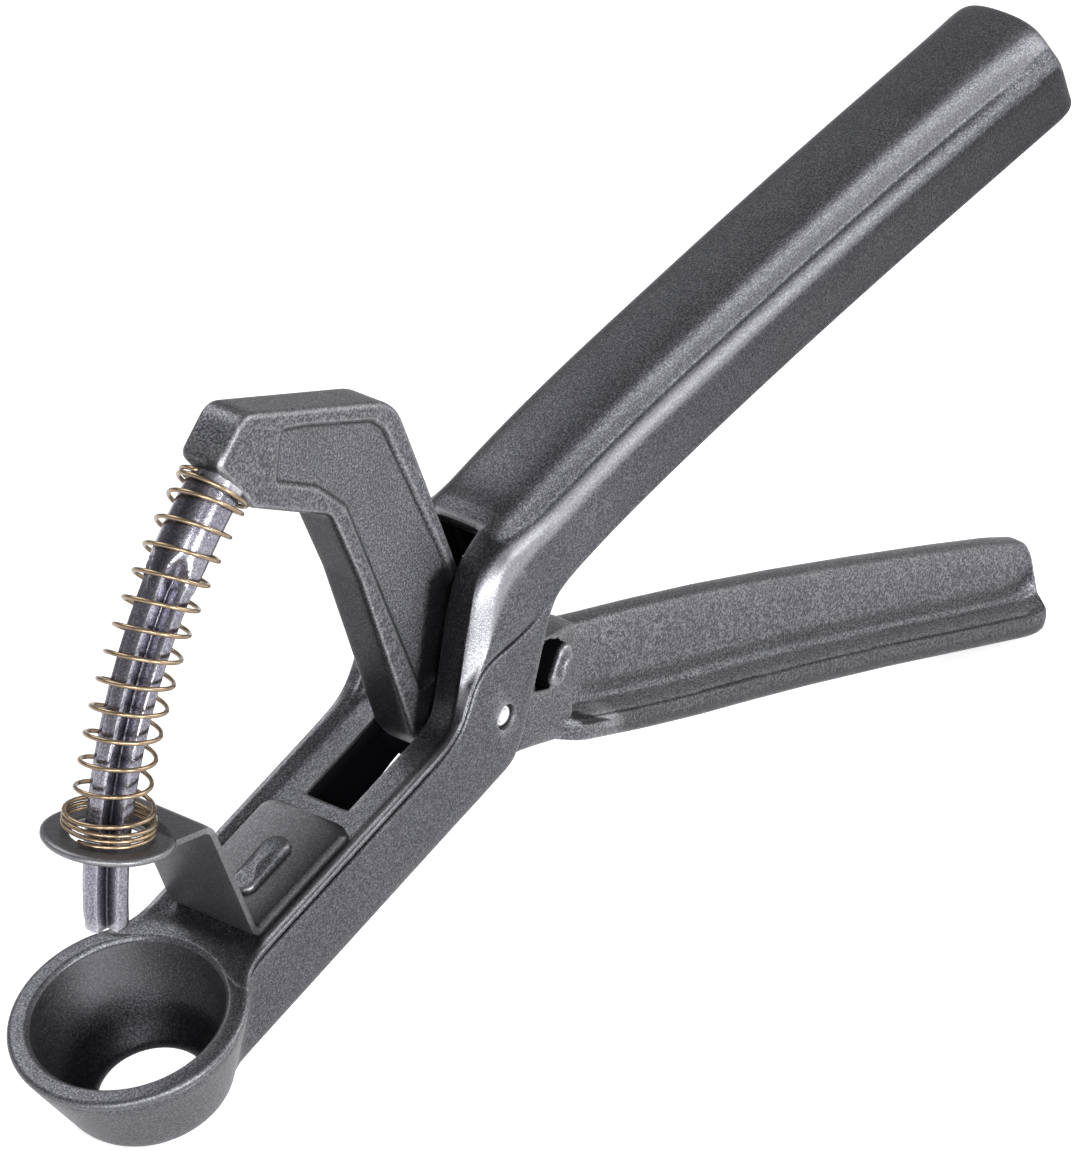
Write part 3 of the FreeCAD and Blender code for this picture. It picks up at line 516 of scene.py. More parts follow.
# ---- beam and upper handle, one casting with the cup
beam = {
    "filletRadius": 8.0,
    # half section of the beam: y, z, then the cup's radius and height where that line leaves it
    "section": [
        (0.0, -0.95, 12.9, 0.0), (3.5, -0.95, 12.9, 13.0), (5.2, -0.93, 12.9, 24.0), (6.95, -0.85, 12.95, 36.0),
        (7.75, -0.3, 14.2, -0.02), (8.4, -0.04, 14.7, -0.08), (8.95, -0.12, 15.08, -0.3), (9.15, -0.38, 15.26, -0.68),
        (9.16, -0.62, 15.05, -1.2), (8.8, -0.74, 14.78, -1.45), (9.25, -0.86, 14.8, -1.62), (9.52, -0.98, 14.8, -1.9),
        (9.6, -1.35, 14.5, -2.8), (9.6, -6.3, 12.9, -7.0), (9.6, -11.0, 11.3, -11.0), (9.3, -11.5, 11.0, -11.5),
        (8.7, -11.6, 10.7, -11.6), (4.6, -11.6, 0, 0), (4.0, -11.3, 0, 0), (4.1, -7.5, 0, 0), (4.4, -4.0, 0, 0),
        (4.2, -3.45, 0, 0), (3.5, -3.45, 0, 0), (0.0, -3.45, 0, 0),
    ],
    "rootShares": (-0.3, -0.12, 0.0, 0.25, 0.5, 0.75, 1.0),  # rows from inside the rim (below 0) to the straight
    "rootEnd": 17.0,
    "channelStart": (9.9, 14.0),  # where the underside of the first and the last of those rows lies
    "rimTurn": 20,  # degrees round the rim for each unit below 0
    "underRim": ((-0.2, 0.6), (0, 0.02)),  # share, and how deep under the rim the rows below that share lie
    "straight": (18.4, 22, 30, 39.4, 40.2, 41.2, 46, 50.5),
    "floor": -11.6,  # the underside's height
    # ramp rows: bed (x, z), rail's inner edge (x, z, y), its outer edge (x, z, y), parting groove (x, z),
    # underside or rear edge (x, z), ceiling of the channel (x, z)
    "ramp": [
        ((54.0, -0.95), (54.0, -0.3, 7.75), (54.2, -0.02, 8.95), (54.2, -0.45), (54.5, -11.6), (54.0, -3.45)),
        ((56.6, -0.85), (56.5, 0.1, 7.6), (56.8, 0.95, 8.95), (56.9, 0.6), (57.5, -11.6), (57.0, -3.45)),
        ((58.2, 0.4), (57.9, 1.5, 7.5), (58.8, 2.7, 8.95), (58.9, 2.3), (60.0, -11.6), (59.6, -2.2)),
        ((59.7, 2.9), (59.3, 3.2, 7.4), (60.7, 4.6, 8.95), (60.7, 4.2), (61.7, -11.6), (61.6, 0.4)),
        ((61.3, 5.6), (60.6, 5.0, 7.35), (62.7, 5.75, 8.95), (62.6, 5.2), (63.3, -11.5), (63.4, 3.2)),
        ((62.8, 8.2), (61.9, 7.0, 7.35), (64.6, 6.9, 8.95), (64.4, 5.4), (65.0, -10.4), (65.1, 6.0)),
        ((64.6, 11.1), (63.3, 8.9, 7.35), (66.3, 9.2, 8.9), (66.3, 5.2), (66.6, -8.9), (66.9, 8.8)),
        ((66.6, 13.9), (64.9, 11.7, 7.3), (67.9, 11.4, 8.85), (68.6, 4.65), (68.6, -6.3), (68.8, 11.3)),
        ((69.0, 16.1), (66.9, 14.4, 7.1), (69.7, 13.9, 8.75), (71.2, 4.5), (71.2, -3.4), (70.7, 13.8)),
        ((71.4, 17.15), (69.6, 16.2, 6.6), (71.8, 15.3, 8.65), (73.2, 4.5), (73.2, -0.6), (72.6, 15.3)),
        ((73.9, 17.65), (72.8, 17.0, 6.2), (73.9, 15.6, 8.6), (74.8, 4.6), (74.9, 1.5), (74.3, 15.9)),
    ],
    "grooveLine": [
        (16, -0.74), (52, -0.74), (54.2, -0.44), (56.9, 0.61), (58.9, 2.31), (60.7, 4.21), (62.6, 5.21),
        (64.4, 5.41), (66.3, 5.21), (68.6, 4.66), (71.2, 4.51), (74.8, 4.6),
    ],
    "bedTurn": ((3.5, 5.2, 6.95), (3.5, 4.5, 5.4)),
    "slotStart": 40.2,
    # how sharp each line along the beam is
    "creases": {3: 0.25, 4: 0.45, 6: 0.3, 8: 0.85, 9: 0.8, 10: 0.85, 12: 0.3, 15: 0.3, 17: 0.6, 22: 0.6},
}

grip = {
    # half section: y, share of the dome's height
    "dome": [(0.0, 0.0), (3.3, 0.05), (5.1, 0.19), (6.05, 0.43), (6.6, 0.73), (6.95, 1.0)],
    "endDome": [(0.0, 0.0), (3.4, 0.06), (5.3, 0.22), (6.4, 0.44), (7.15, 0.68), (7.65, 0.88)],
    # shoulder of the ridge: y, drop
    "ridgeEdge": [(7.5, 0.0), (8.5, 0.85), (9.15, 2.2)],
    "endRidge": [(8.15, 0.25), (8.75, 1.2), (9.15, 2.5)],
    "ridge": [
        (74, 3.6), (80, 3.9), (88, 3.5), (100, 3.4), (110, 3.85), (120, 4.2), (132, 4.4), (140, 4.75), (150, 5.05),
        (160, 5.35), (175, 5.85), (190, 6.1),
    ],
    "rise": [(74, 3.55), (84, 3.75), (100, 3.85), (132, 4.1), (160, 4.55), (190, 4.85)],
    "rows": (76.2, 77.6, 80.0, 84.0, 92.0, 104.0, 120.0, 138.0, 156.0, 172.0, 182.0, 186.4),
    "archCentre": (39.87, -1080.616),
    "archRadius": 1100.0,
    "depth": [
        (72, 13.9), (78, 13.9), (88, 13.2), (100, 13.2), (110, 13.7), (132, 14.0), (140, 14.6), (160, 15.2),
        (175, 15.7), (190, 15.9),
    ],
    "rear": [(75.0, 1.6), (76.2, 3.2), (77.2, 4.3), (78.0, 4.9)],
    "end": 190.0,
    "cornerRound": 2.6,
    # the closed end: distance from the end, how far the sides come in
    "endRows": ((2.6, 0.0), (1.5, 0.0), (0.7, 0.12), (0.2, 0.4), (0, 0.9)),
    "creases": {10: 0.4},
    "rib": {"ahead": 77.5, "behind": 78.5, "half": 7.0, "low": 4.3, "topHalf": 3.0, "chamfer": (0.7, 3.5)},
}
pinRecess = {"radius": 1.75, "floor": 8.3}


def gripLevels(x):
    # heights of the handle's ridges, of its dome and of its lower edge
    arch = grip["archCentre"][1] + math.sqrt(grip["archRadius"] ** 2 - (x - grip["archCentre"][0]) ** 2)
    ridge = arch - tableAt(grip["ridge"], x)
    return ridge, ridge + tableAt(grip["rise"], x), arch - tableAt(grip["depth"], x)


def filletSpot(radius, line, share):
    # point on the plan curve that leaves the cup's circle and runs into the line at y = line
    r = beam["filletRadius"]
    centre = Vector((math.sqrt(max((radius + r) ** 2 - (line + r) ** 2, 0)), line + r))
    first = math.atan2(-centre.y, -centre.x)
    angle = mixed(first, -math.pi / 2, share)
    return centre.x + r * math.cos(angle), centre.y + r * math.sin(angle)


def rootRow(share):
    row = []
    early = math.radians(max(-share, 0) * beam["rimTurn"])
    under = next((depth for below, depth in beam["underRim"] if share < below), 0.0)
    for index, (y, z, radius, second) in enumerate(beam["section"]):
        if index < 4:
            angle = math.radians(second if index else 0)
            s = max(share, 0)
            reach = radius - under
            x = mixed(reach * math.cos(angle), beam["rootEnd"], s)
            height = mixed(0.01 - under, z, eased((s - 0.4) / 0.6))
            row.append((x, mixed(reach * math.sin(angle), y, eased(s)), height))
        elif radius:
            x, wide = filletSpot(radius, y, max(share, 0))
            height = mixed(second, z, eased(share))
            if share < 0:
                size, angle = math.hypot(x, wide) - under, math.atan2(wide, x) + early
                x, wide, height = size * math.cos(angle), size * math.sin(angle), height - under
            row.append((x, wide, height))
        else:
            row.append((mixed(*beam["channelStart"], (share + 0.3) / 1.3), y, beam["floor"]))
    return row


def beamRow(x):
    solid = x < 18.5  # the channel under the beam is closed there
    return [
        (x, y, beam["floor"] if solid and index > 17 else z) for index, (y, z, _, _) in enumerate(beam["section"])
    ]


def rampRow(bed, inner, outer, groove, under, ceiling, number):
    late = eased((number - 6) / 4)  # towards the handle
    halves = [mixed(a, b, late) for a, b in zip(*beam["bedTurn"])]
    gx, gz = groove
    ux, uz = under
    cx, cz = ceiling
    row = [
        (bed[0], 0.0, bed[1] + 0.25 * late), (bed[0], halves[0], bed[1]),
        (mixed(bed[0], inner[0], 0.25 * late), halves[1], mixed(bed[1], inner[1], 0.2 * late)),
        (mixed(bed[0], inner[0], 0.55 * late), halves[2], mixed(bed[1], inner[1], 0.55 * late)),
        (inner[0], inner[2], inner[1]),
        (mixed(inner[0], outer[0], 0.5), mixed(inner[2], outer[2], 0.5), mixed(inner[1], outer[1], 0.5) + 0.06),
        (outer[0], outer[2], outer[1]),
    ]
    side = mixed(outer[1], gz, 0.16)
    notch = mixed(8.75, 9.25, late)
    row += [
        (mixed(outer[0], gx, 0.2), 9.15, side - 0.1),
        (gx, 9.26, gz + 0.14), (gx, notch, gz + 0.01), (gx, mixed(9.3, 9.38, late), gz - 0.12),
        (gx, 9.54, gz - 0.22), (gx, 9.6, gz - 0.6),
        ((gx + ux) / 2, 9.6, (gz + uz) / 2), (ux, 9.6, uz + 0.6), (ux, 9.35, uz + 0.12), (ux, 8.8, uz),
        (ux, 5.4, uz), (ux, 4.62 if number else 4.1, uz + 0.3),
        (mixed(ux, cx, 0.5), 4.8 if number else 4.2, mixed(uz, cz, 0.5)),
        (cx, 4.8, cz - 0.6), (cx, 4.4, cz), (cx, 3.5, cz), (cx, 0.0, cz),
    ]
    return row


def gripRow(x):
    ridge, top, low = gripLevels(x)
    rise = tableAt(grip["rise"], x)
    full = eased((x - 179) / 8)  # the ridge fades towards the end
    early = 1 - eased((x - 75) / 9)  # and starts as the ramp's rail
    row = [
        (mixed(a[0], b[0], full), top - (rise - 0.1) * mixed(a[1], b[1], full))
        for a, b in zip(grip["dome"], grip["endDome"])
    ]
    row += [
        (mixed(a[0], b[0], full), ridge - mixed(a[1], b[1], full))
        for a, b in zip(grip["ridgeEdge"], grip["endRidge"])
    ]
    row[5] = (row[5][0], mixed(row[5][1], ridge + 0.9, early))
    row[6] = (mixed(row[6][0], 8.4, early), row[6][1])
    row[7] = (mixed(row[7][0], 9.1, early), mixed(row[7][1], ridge - 1.7, early))
    if x < 78:  # rear edges of the cheeks
        rear = min(tableAt(grip["rear"], x), low - 0.2)
        row[8:] = [
            (9.15, low + 1.2), (9.25, low + 0.1), (9.36, low - 0.08), (9.5, low - 0.18),
            (9.58, mixed(low - 0.2, rear, 0.3)), (9.6, mixed(low - 0.2, rear, 0.6)), (9.5, mixed(low, rear, 0.9)),
            (9.2, rear), (8.7, rear), (5.4, rear), (4.8, rear + 0.3), (4.8, mixed(rear, top - 4, 0.5)),
            (4.8, top - 4.2), (4.4, top - 2.4), (3.5, top - 2.0),
        ]
    else:
        row += [(9.25, low + 2.2), (9.4, low + 0.6), (9.3, low + 0.12)]
        row += [(y, low) for y in (9.0, 8.7, 8.4, 8.1, 7.8)]
        row += [
            (7.5, low + 0.08), (7.32, low + 0.4), (6.9, low + 4.5), (6.2, top - 5.6), (5.0, top - 3.6),
            (3.5, top - 2.3),
        ]
    return [(x, y, z) for y, z in row + [(0.0, top - 1.9)]]


def endRows():
    # the closed end, with rounded corners
    end, rounding = grip["end"], grip["cornerRound"]
    rows = [gripRow(end - rounding - 0.6)]
    for back, inset in grip["endRows"]:
        reach = end - back
        base = gripRow(reach)
        _, top, low = gripLevels(reach)
        middle, halfHeight = (top + low) / 2, (top - low) / 2
        past = max(reach - end + rounding, 0)
        fall = rounding - math.sqrt(max(rounding ** 2 - (past * 0.97) ** 2, 0))
        row = []
        for index, (x, y, z) in enumerate(base):
            if index > 11:
                y, z = 8.8 * (23 - index) / 12, low
            y *= (9.4 - inset) / 9.4
            z = middle + (z - middle) * (halfHeight - fall * (0.9 if z < middle else 0.38)) / halfHeight
            row.append((x, y, z))
        rows.append(row)
    return rows


def beamShade(x, y, z):
    # painted shade: dark in the channel, between the cheeks, inside the handle, in the parting groove and on the ramp's
    # bed; the dome darker near the arch, and the handle's side darker towards its end
    wide = abs(y)
    if x < 74.5:
        if 16 < x and 8.6 < wide < 9.14 and abs(z - tableAt(beam["grooveLine"], x)) < 0.13:
            return 0.9
        under = -2.0 if x < 57 else tableAt([(57, -2.0), (66, 6.5), (74.5, 15.0)], x)
        if wide < 5.2 and -11.45 < z < under or wide < 3.6 and -3.5 < z < under + 0.7:
            return 1.0
        return 0.7 * eased((x - 57.5) / 2.5) * eased((7.4 - wide) / 0.5) * eased((75.2 - x) / 1.5) if z > -0.6 else 0.0
    ridge, top, low = gripLevels(x)
    inner = 7.45 if x > 77.9 else 5.5
    skin = top - (top - ridge) * tableAt(grip["dome"], wide)
    if wide < inner and z < skin - 0.95 and (z > low + 0.25 or x < 79) and x < 189:
        return 1.0
    side = tableAt([(84, 0.0), (92, 0.12), (110, 0.32), (130, 0.45), (150, 0.53), (170, 0.62), (186, 0.7)], x)
    if wide < 6:
        return 0.4 * eased((84 - x) / 7) * eased((6 - wide) / 1.5)
    brow = tableAt([(135, 1.3), (165, 0.5)], x)
    return side * eased((ridge - brow - z) / 1.4) if wide > 8.9 else 0.0


def beamHighlight(x, y, z):
    # painted highlights on the chamfer beside the ramp, the arch's lip, the rail, the ridge of the handle and the foot
    # of its dome
    wide = abs(y)
    if x > 74.6:
        ridge = gripLevels(x)[0]
        up = (z - ridge) / tableAt(grip["rise"], x)
        if wide < 7.45 and up > 0.04 and x > 86:
            foot = tableAt([(86, 0.0), (92, 0.08), (110, 0.17), (130, 0.24), (150, 0.36), (170, 0.46), (186, 0.44)], x)
            return foot * (0.32 + 0.68 * eased((up - 0.02) / 0.2) * eased((0.7 - up) / 0.3))
        shine = tableAt([(75, 1.0), (84, 0.75), (110, 0.62), (140, 0.36), (160, 0.16), (175, 0.0)], x)
        return shine * eased((wide - 7.2) / 0.5) * eased((9.25 - wide) / 0.3) * eased((z - ridge + 2.4) / 0.8)
    if x > 73.5 and wide < 3.7 and z > 17.3:
        return 1.0
    if x < 57:
        return 0.5 if x > 15 and 8.3 < wide < 9.12 and z > -0.36 else 0.0
    if z < tableAt(beam["grooveLine"], x) + 0.35:
        return 0.0
    return eased((wide - 7.25) / 0.5) * eased((9.12 - wide) / 0.12) * eased((x - 57) / 2.5)


def makeBeam():
    rows = [rootRow(share) for share in beam["rootShares"]]
    rows += [beamRow(x) for x in beam["straight"]]
    rows += [rampRow(*keys, number) for number, keys in enumerate(beam["ramp"])]
    lastSlot = len(rows) - 1
    firstSlot = len(beam["rootShares"]) + beam["straight"].index(beam["slotStart"])
    rows += [gripRow(x) for x in grip["rows"]]
    rows += endRows()
    bm = bmesh.new()
    crease = bm.edges.layers.float.new("crease_edge")
    top, bed, ceiling, middle = 0, 1, 22, 23  # columns at the slot
    for side in (1, -1):
        spots = [[place(x, y * side, z) for x, y, z in row] for row in rows]
        points = addGrid(bm, spots, skip=lambda i, j: firstSlot <= i < lastSlot and j in (top, ceiling))
        for here, ahead in zip(points[firstSlot:lastSlot], points[firstSlot + 1:]):  # the slot's wall
            bm.faces.new((here[bed], ahead[bed], ahead[ceiling], here[ceiling]))
            bm.edges.get((here[bed], ahead[bed]))[crease] = 0.9
        for i in (firstSlot, lastSlot):  # the slot's ends
            corners = [points[i][j] for j in (top, bed, ceiling, middle)]
            bm.faces.new(corners)
            for ends, value in zip(zip(corners, corners[1:]), (0.45, 0.9, 0.8)):
                bm.edges.get(ends)[crease] = value
        bm.faces.new(points[-1])
        for i in range(len(points) - 1):
            for j, value in (beam if i < lastSlot else grip)["creases"].items():
                edge = bm.edges.get((points[i][j], points[i + 1][j]))
                if edge:
                    edge[crease] = max(edge[crease], value)
        for a, b in zip(points[-1], points[-1][1:]):
            bm.edges.get((a, b))[crease] = 0.4
    rib = grip["rib"]
    half, low = rib["half"], rib["low"]
    high = gripRow(rib["behind"])[0][2] - 1.0
    inward, downward = rib["chamfer"]
    section = [
        (-half, low), (half, low), (half - inward, high - downward), (rib["topHalf"], high),
        (-rib["topHalf"], high), (inward - half, high - downward),
    ]
    ends = addTube(bm, [[place(x, y, z) for y, z in section] for x in (rib["ahead"], rib["behind"])])
    for loop in ends:
        for a, b in zip(loop, loop[1:] + loop[:1]):
            bm.edges.get((a, b))[crease] = 1.0
    hole = [
        (standing["pivotX"] + pinRecess["radius"] * c, standing["pivotZ"] + pinRecess["radius"] * s)
        for c, s in circle(48)
    ]
    cutters = [makeCutter(hole, side * pinRecess["floor"], side * 11.0) for side in (1, -1)]
    return makePiece(
        "beamAndUpperHandle", bm, *upperCasting,
        sharp=42, levels=2, cutters=cutters, shade=beamShade, paintedLight=beamHighlight,
    )


makeBeam()
print("beam and upper handle made")

# ---- stud that holds the strip
stud = {
    "reach": 27.0,
    "halfLength": 3.2,
    "radius": 1.9,
    "rings": [(1.0, -0.2), (1.0, 0.3), (0.94, 0.72), (0.78, 1.1), (0.5, 1.32), (0.2, 1.38)],
    "dish": {"ahead": 3.1, "depth": 0.55, "spread": 1.6},
}


def ovalLoop(halfLength, radius, count=40):
    return [((halfLength if c > 0 else -halfLength) + radius * c, radius * s) for c, s in circle(count)]


def makeStud():
    bm = bmesh.new()
    rows = []
    dish = stud["dish"]
    for scale, height in stud["rings"]:
        row = []
        for x, y in ovalLoop(stud["halfLength"] * min(1, scale + 0.08), stud["radius"] * scale):
            sunk = dish["depth"] * math.exp(-((x + dish["ahead"]) ** 2) / dish["spread"]) * (1 - scale) * 2.0
            row.append(place(stud["reach"] + x, y, height - sunk))
        rows.append(row)
    addTube(bm, rows, capFirst=False)
    return makePiece("stud", bm, *upperCasting, levels=2)


makeStud()
print("stud made")

# ---- stripper: a bent strip with a round disc
strip = {
    "half": 6.8,
    "thick": 1.0,
    "tailEnd": 37.2,
    "tailRound": 2.0,
    "bend": 17.2,
    "lean": 1.7,
    "rise": 20.8,
    "discTurn": math.radians(152.6),
    "discReach": 65.4,
    "discSteps": 64,
    # section of the disc: radius, depth below the top as a share of the thickness
    "rings": (
        (4.7, 0.25), (4.85, 0.06), (5.1, 0.0), (7.6, 0.0), (8.05, 0.1), (8.25, 0.32), (8.25, 0.68), (8.05, 0.92),
        (7.6, 1.0), (5.1, 1.0), (4.85, 0.94), (4.7, 0.75),
    ),
    "jointReach": 4.75,  # the bent part ends this far before the disc's middle
    "lowerRadius": 1.1,
    "upperRadius": 2.6,
    "bendParts": 6,
    "tailRows": (0, 0.06, 0.25, 0.6, 1.1, 1.6, 2.2),
    "rowStep": 2.5,
    # half section of the bent part: y as a share of the half width, depth as a share of the thickness
    "edge": [(0.0, 0.0), (0.86, 0.0), (0.985, 0.1), (1.0, 0.3), (1.0, 0.72), (0.985, 0.92), (0.86, 1.0), (0.0, 1.0)],
}


def stripLine():
    # corners of the sheet's upper and rear face in x and z, and the way from the pivot to the disc
    angle = strip["discTurn"]
    along = Vector((math.cos(angle), math.sin(angle)))
    discMiddle = Vector((standing["pivotX"], standing["pivotZ"])) + along * strip["discReach"]
    lowCorner = Vector((strip["bend"] + strip["thick"], 0.0))
    rise = Vector((strip["bend"] + strip["thick"] - strip["lean"], strip["rise"])) - lowCorner
    # the rise's rear face meets the disc's top face at the high corner
    highCorner = lowCorner + rise * (cross(discMiddle - lowCorner, along) / cross(rise, along))
    return discMiddle, lowCorner, highCorner, along


def bentLine(corners, parts):
    # open line with rounded corners: (spot, radius)
    line = [corners[0][0]]
    for index in range(1, len(corners) - 1):
        here, radius = corners[index]
        before = (corners[index - 1][0] - here).normalized()
        after = (corners[index + 1][0] - here).normalized()
        half = before.angle(after) / 2
        reach = radius / math.tan(half)
        middle = here + (before + after).normalized() * (radius / math.sin(half))
        first, last = here + before * reach - middle, here + after * reach - middle
        angle = first.angle(last)
        for part in range(parts + 1):
            s = part / parts
            line.append(middle + (first * math.sin((1 - s) * angle) + last * math.sin(s * angle)) / math.sin(angle))
    line.append(corners[-1][0])
    return line


def stripShade(x, y, z):
    # painted shade: the tail is darker towards the near rail
    return 0.88 * eased((0.1 * (x - 19) - y + 1.5) / 7) if x > 18.6 and z < 1.3 and abs(y) < 6.5 else 0.0


def stripHighlight(x, y, z):
    # painted highlight on the raised part of the strip
    return 0.1 if z > 1.6 else 0.0


def makeStrip():
    discMiddle, lowCorner, highCorner, along = stripLine()
    tailEnd = Vector((strip["tailEnd"], 0.0))
    joint = discMiddle - along * strip["jointReach"]
    line = bentLine(
        [(tailEnd, 0), (lowCorner, strip["lowerRadius"]), (highCorner, strip["upperRadius"]), (joint, 0)],
        strip["bendParts"],
    )
    # more rows on the straight runs
    dense = [line[0] - Vector((back, 0)) for back in strip["tailRows"]]
    for a, b in zip([dense[-1]] + line[1:], line[1:]):
        parts = max(1, round((b - a).length / strip["rowStep"]))
        dense += [a.lerp(b, part / parts) for part in range(1, parts + 1)]
    dense = dense[:-1] + [joint]
    normals = []
    for index in range(len(dense)):
        a = dense[max(index - 1, 0)]
        b = dense[min(index + 1, len(dense) - 1)]
        d = (b - a).normalized()
        normals.append(Vector((d.y, -d.x)))
    edge, tailRound = strip["edge"], strip["tailRound"]
    bm = bmesh.new()
    rows = []
    for spot, normal in zip(dense, normals):
        half = strip["half"]
        back = strip["tailEnd"] - spot.x
        if back < tailRound and spot.y < 0.2:  # rounded rear corners
            half -= tailRound - math.sqrt(max(tailRound ** 2 - (tailRound - back) ** 2, 0))
        row = []
        for y, t in [(s * half, t) for s, t in edge] + [(-s * half, t) for s, t in edge[-2:0:-1]]:
            p = spot - normal * (t * strip["thick"])
            row.append(place(p.x, y, p.y))
        rows.append(row)
    addTube(bm, rows, capLast=False)
    # the disc: rings round the hole, flat top on the line's own side
    across = Vector((-along.y, along.x))  # from the cup's side to the spring's side
    up = across if across.y > 0 else -across
    discRows = []
    for c, s in circle(strip["discSteps"]):
        row = []
        for r, t in strip["rings"]:
            p = discMiddle + along * (r * c) - up * (t * strip["thick"])
            row.append(place(p.x, r * s, p.y))
        discRows.append(row)
    addGrid(bm, discRows, closedAcross=True, closedAlong=True)
    return makePiece(
        "stripper", bm, "cup_side", "stripper_plate", "plate_coating", sheetCoating,
        sharp=50, shade=stripShade, paintedLight=stripHighlight,
    )


makeStrip()
print("stripper made")

# ---- punch lever
arm = {
    "half": 3.2,
    "bevel": 0.75,
    "outline": [
        (40.7, 51.2, 0.6), (37.0, 61.4, 1.2), (43.6, 64.6, 3.0), (67.2, 46.0, 8.5), (68.3, 31.5, 0), (69.3, 16.2, 0),
        (70.6, 0.0, 0), (72.0, -6.0, 1), (56.0, -6.0, 1), (54.0, -1.0, 0), (53.6, 14.0, 0), (53.2, 27.4, 0),
        (51.8, 39.9, 3.0),
    ],
    "panel": [
        (48.2, 58.2, 1.2), (52.4, 55.3, 0), (62.9, 46.8, 2.6), (64.4, 44.2, 2.0), (67.8, 18.7, 0), (68.0, 3.6, 1.0),
        (57.3, 3.8, 1.0), (54.4, 38.8, 2.6), (51.0, 45.2, 2.6), (44.8, 51.6, 1.2),
    ],
    "panelDepth": 0.45,
    "panelInset": 0.85,  # the panel's flat starts this far inside its outline
    "bevelParts": 4,
    "longestEdge": 0.0011,  # in metres, so that the painted shade and highlights can follow the shape
    "passes": 6,
    "front": [(0, 54.3), (14, 53.9), (27.4, 53.5), (40, 51.9), (44, 49.0)],  # z, x of the face towards the cup
    "noseSlope": 0.386,  # the nose leans forward by this much for each mm above its level
    "noseLevel": 51.3,
}


def sidePlate(bm, outline, panel):
    half, bevel, depth = arm["half"], arm["bevel"], arm["panelDepth"]
    rings = []
    for part in range(arm["bevelParts"] + 1):
        angle = math.pi / 2 * part / arm["bevelParts"]
        rings.append((bevel * (1 - math.cos(angle)), half - bevel + bevel * math.sin(angle)))
    loops = [(shifted(outline, inset), y) for inset, y in rings]
    for side in (1, -1):
        rows = [[place(p.x, side * y, p.y) for p in loop] for loop, y in loops]
        rows = [[place(p.x, 0, p.y) for p in outline]] + rows
        rim = addGrid(bm, rows, closedAcross=True)[-1]
        inner = []
        for inset, low in ((-0.3, 0), (-0.05, 0.05), (0.2, 0.2), (0.5, depth - 0.07), (arm["panelInset"], depth)):
            inner.append([place(p.x, side * (half - low), p.y) for p in shifted(panel, inset)])
        floor = addTube(bm, inner, capFirst=False)
        edges = [bm.edges.get(pair) for loop in (rim, floor[0]) for pair in zip(loop, loop[1:] + loop[:1])]
        bmesh.ops.triangle_fill(bm, edges=edges, use_beauty=True, use_dissolve=False)


def insidePanel(x, z):
    line = arm["panel"]
    inside = False
    for (a, b, _), (c, d, _) in zip(line, line[1:] + line[:1]):
        if (b > z) != (d > z) and x < mixed(a, c, (z - b) / (d - b)):
            inside = not inside
    return inside


def noseLine(start, z):
    # x where a line down the nose stands at that height
    return start - arm["noseSlope"] * (z - arm["noseLevel"])


def armShade(x, y, z):
    # painted shade: dark on the face towards the cup, the nose and the line round the panel, and a painted shadow in
    # the corner beside the ramp
    wide = abs(y)
    if wide < 3.0 and x < tableAt(arm["front"], z) + 0.25 and z < 43:
        return 0.78
    if wide < 2.46 and z > 50 and x < noseLine(41.6, z):
        return 0.78 if y < -1.0 else 0.5
    cornerShadow = 0.0
    if z > -1 and wide < 3.25:
        cornerShadow = 0.93 * eased((x - 57.2 - 0.58 * (z - 6)) / 1.1) * eased((18.2 - z) / 1.6)
    return max(cornerShadow, 0.8 if 2.77 < wide < 2.9 and z > 4.6 and insidePanel(x, z) else 0.0)


def armHighlight(x, y, z):
    # painted highlights: thin light lines round the panel and down the nose
    if z > 50 and x < noseLine(43, z):
        return 0.5 if 2.5 < abs(y) < 3.16 else 0.0
    return 0.4 if 3.05 < abs(y) < 3.17 else 0.0


def makeArm():
    bm = bmesh.new()
    sidePlate(bm, roundedLoop(arm["outline"]), roundedLoop(arm["panel"]))
    for _ in range(arm["passes"]):
        tooLong = [edge for edge in bm.edges if edge.calc_length() > arm["longestEdge"]]
        bmesh.ops.subdivide_edges(bm, edges=tooLong, cuts=1, use_grid_fill=True)
        bmesh.ops.triangulate(bm, faces=[face for face in bm.faces if len(face.verts) > 4])
    return makePiece(
        "punchArm", bm, *lowerCasting,
        sharp=50, shade=armShade, paintedLight=armHighlight,
    )


makeArm()
print("punch arm made")

lever = {
    # top edge and underside, front to tip
    "top": [
        (80.0, -6.6), (84.8, -9.9), (99.6, -19.75), (111.1, -27.65), (125.0, -37.7), (140.1, -49.0), (154.0, -59.6),
        (165.1, -68.3), (170.85, -73.35),
    ],
    "under": [
        (74.0, -20.6), (78.6, -24.2), (90.0, -32.45), (99.7, -39.15), (109.9, -45.85), (120.4, -52.9),
        (135.4, -63.3), (149.2, -73.2), (162.8, -82.9), (165.75, -84.3),
    ],
    "upShare": 0.83,  # height across the handle for each mm straight up
    "rows": 56,
    "webHalf": 2.1,
    "lipHalf": 6.0,
    "lipStart": 3.6,
    "footHalf": (0.2, 0.8),
}


def alongLine(line, share):
    lengths = [math.dist(a, b) for a, b in zip(line, line[1:])]
    target = share * sum(lengths)
    for (a, b), size in zip(zip(line, line[1:]), lengths):
        if target <= size or b == line[-1]:
            k = target / size
            return mixed(a[0], b[0], k), mixed(a[1], b[1], k)
        target -= size


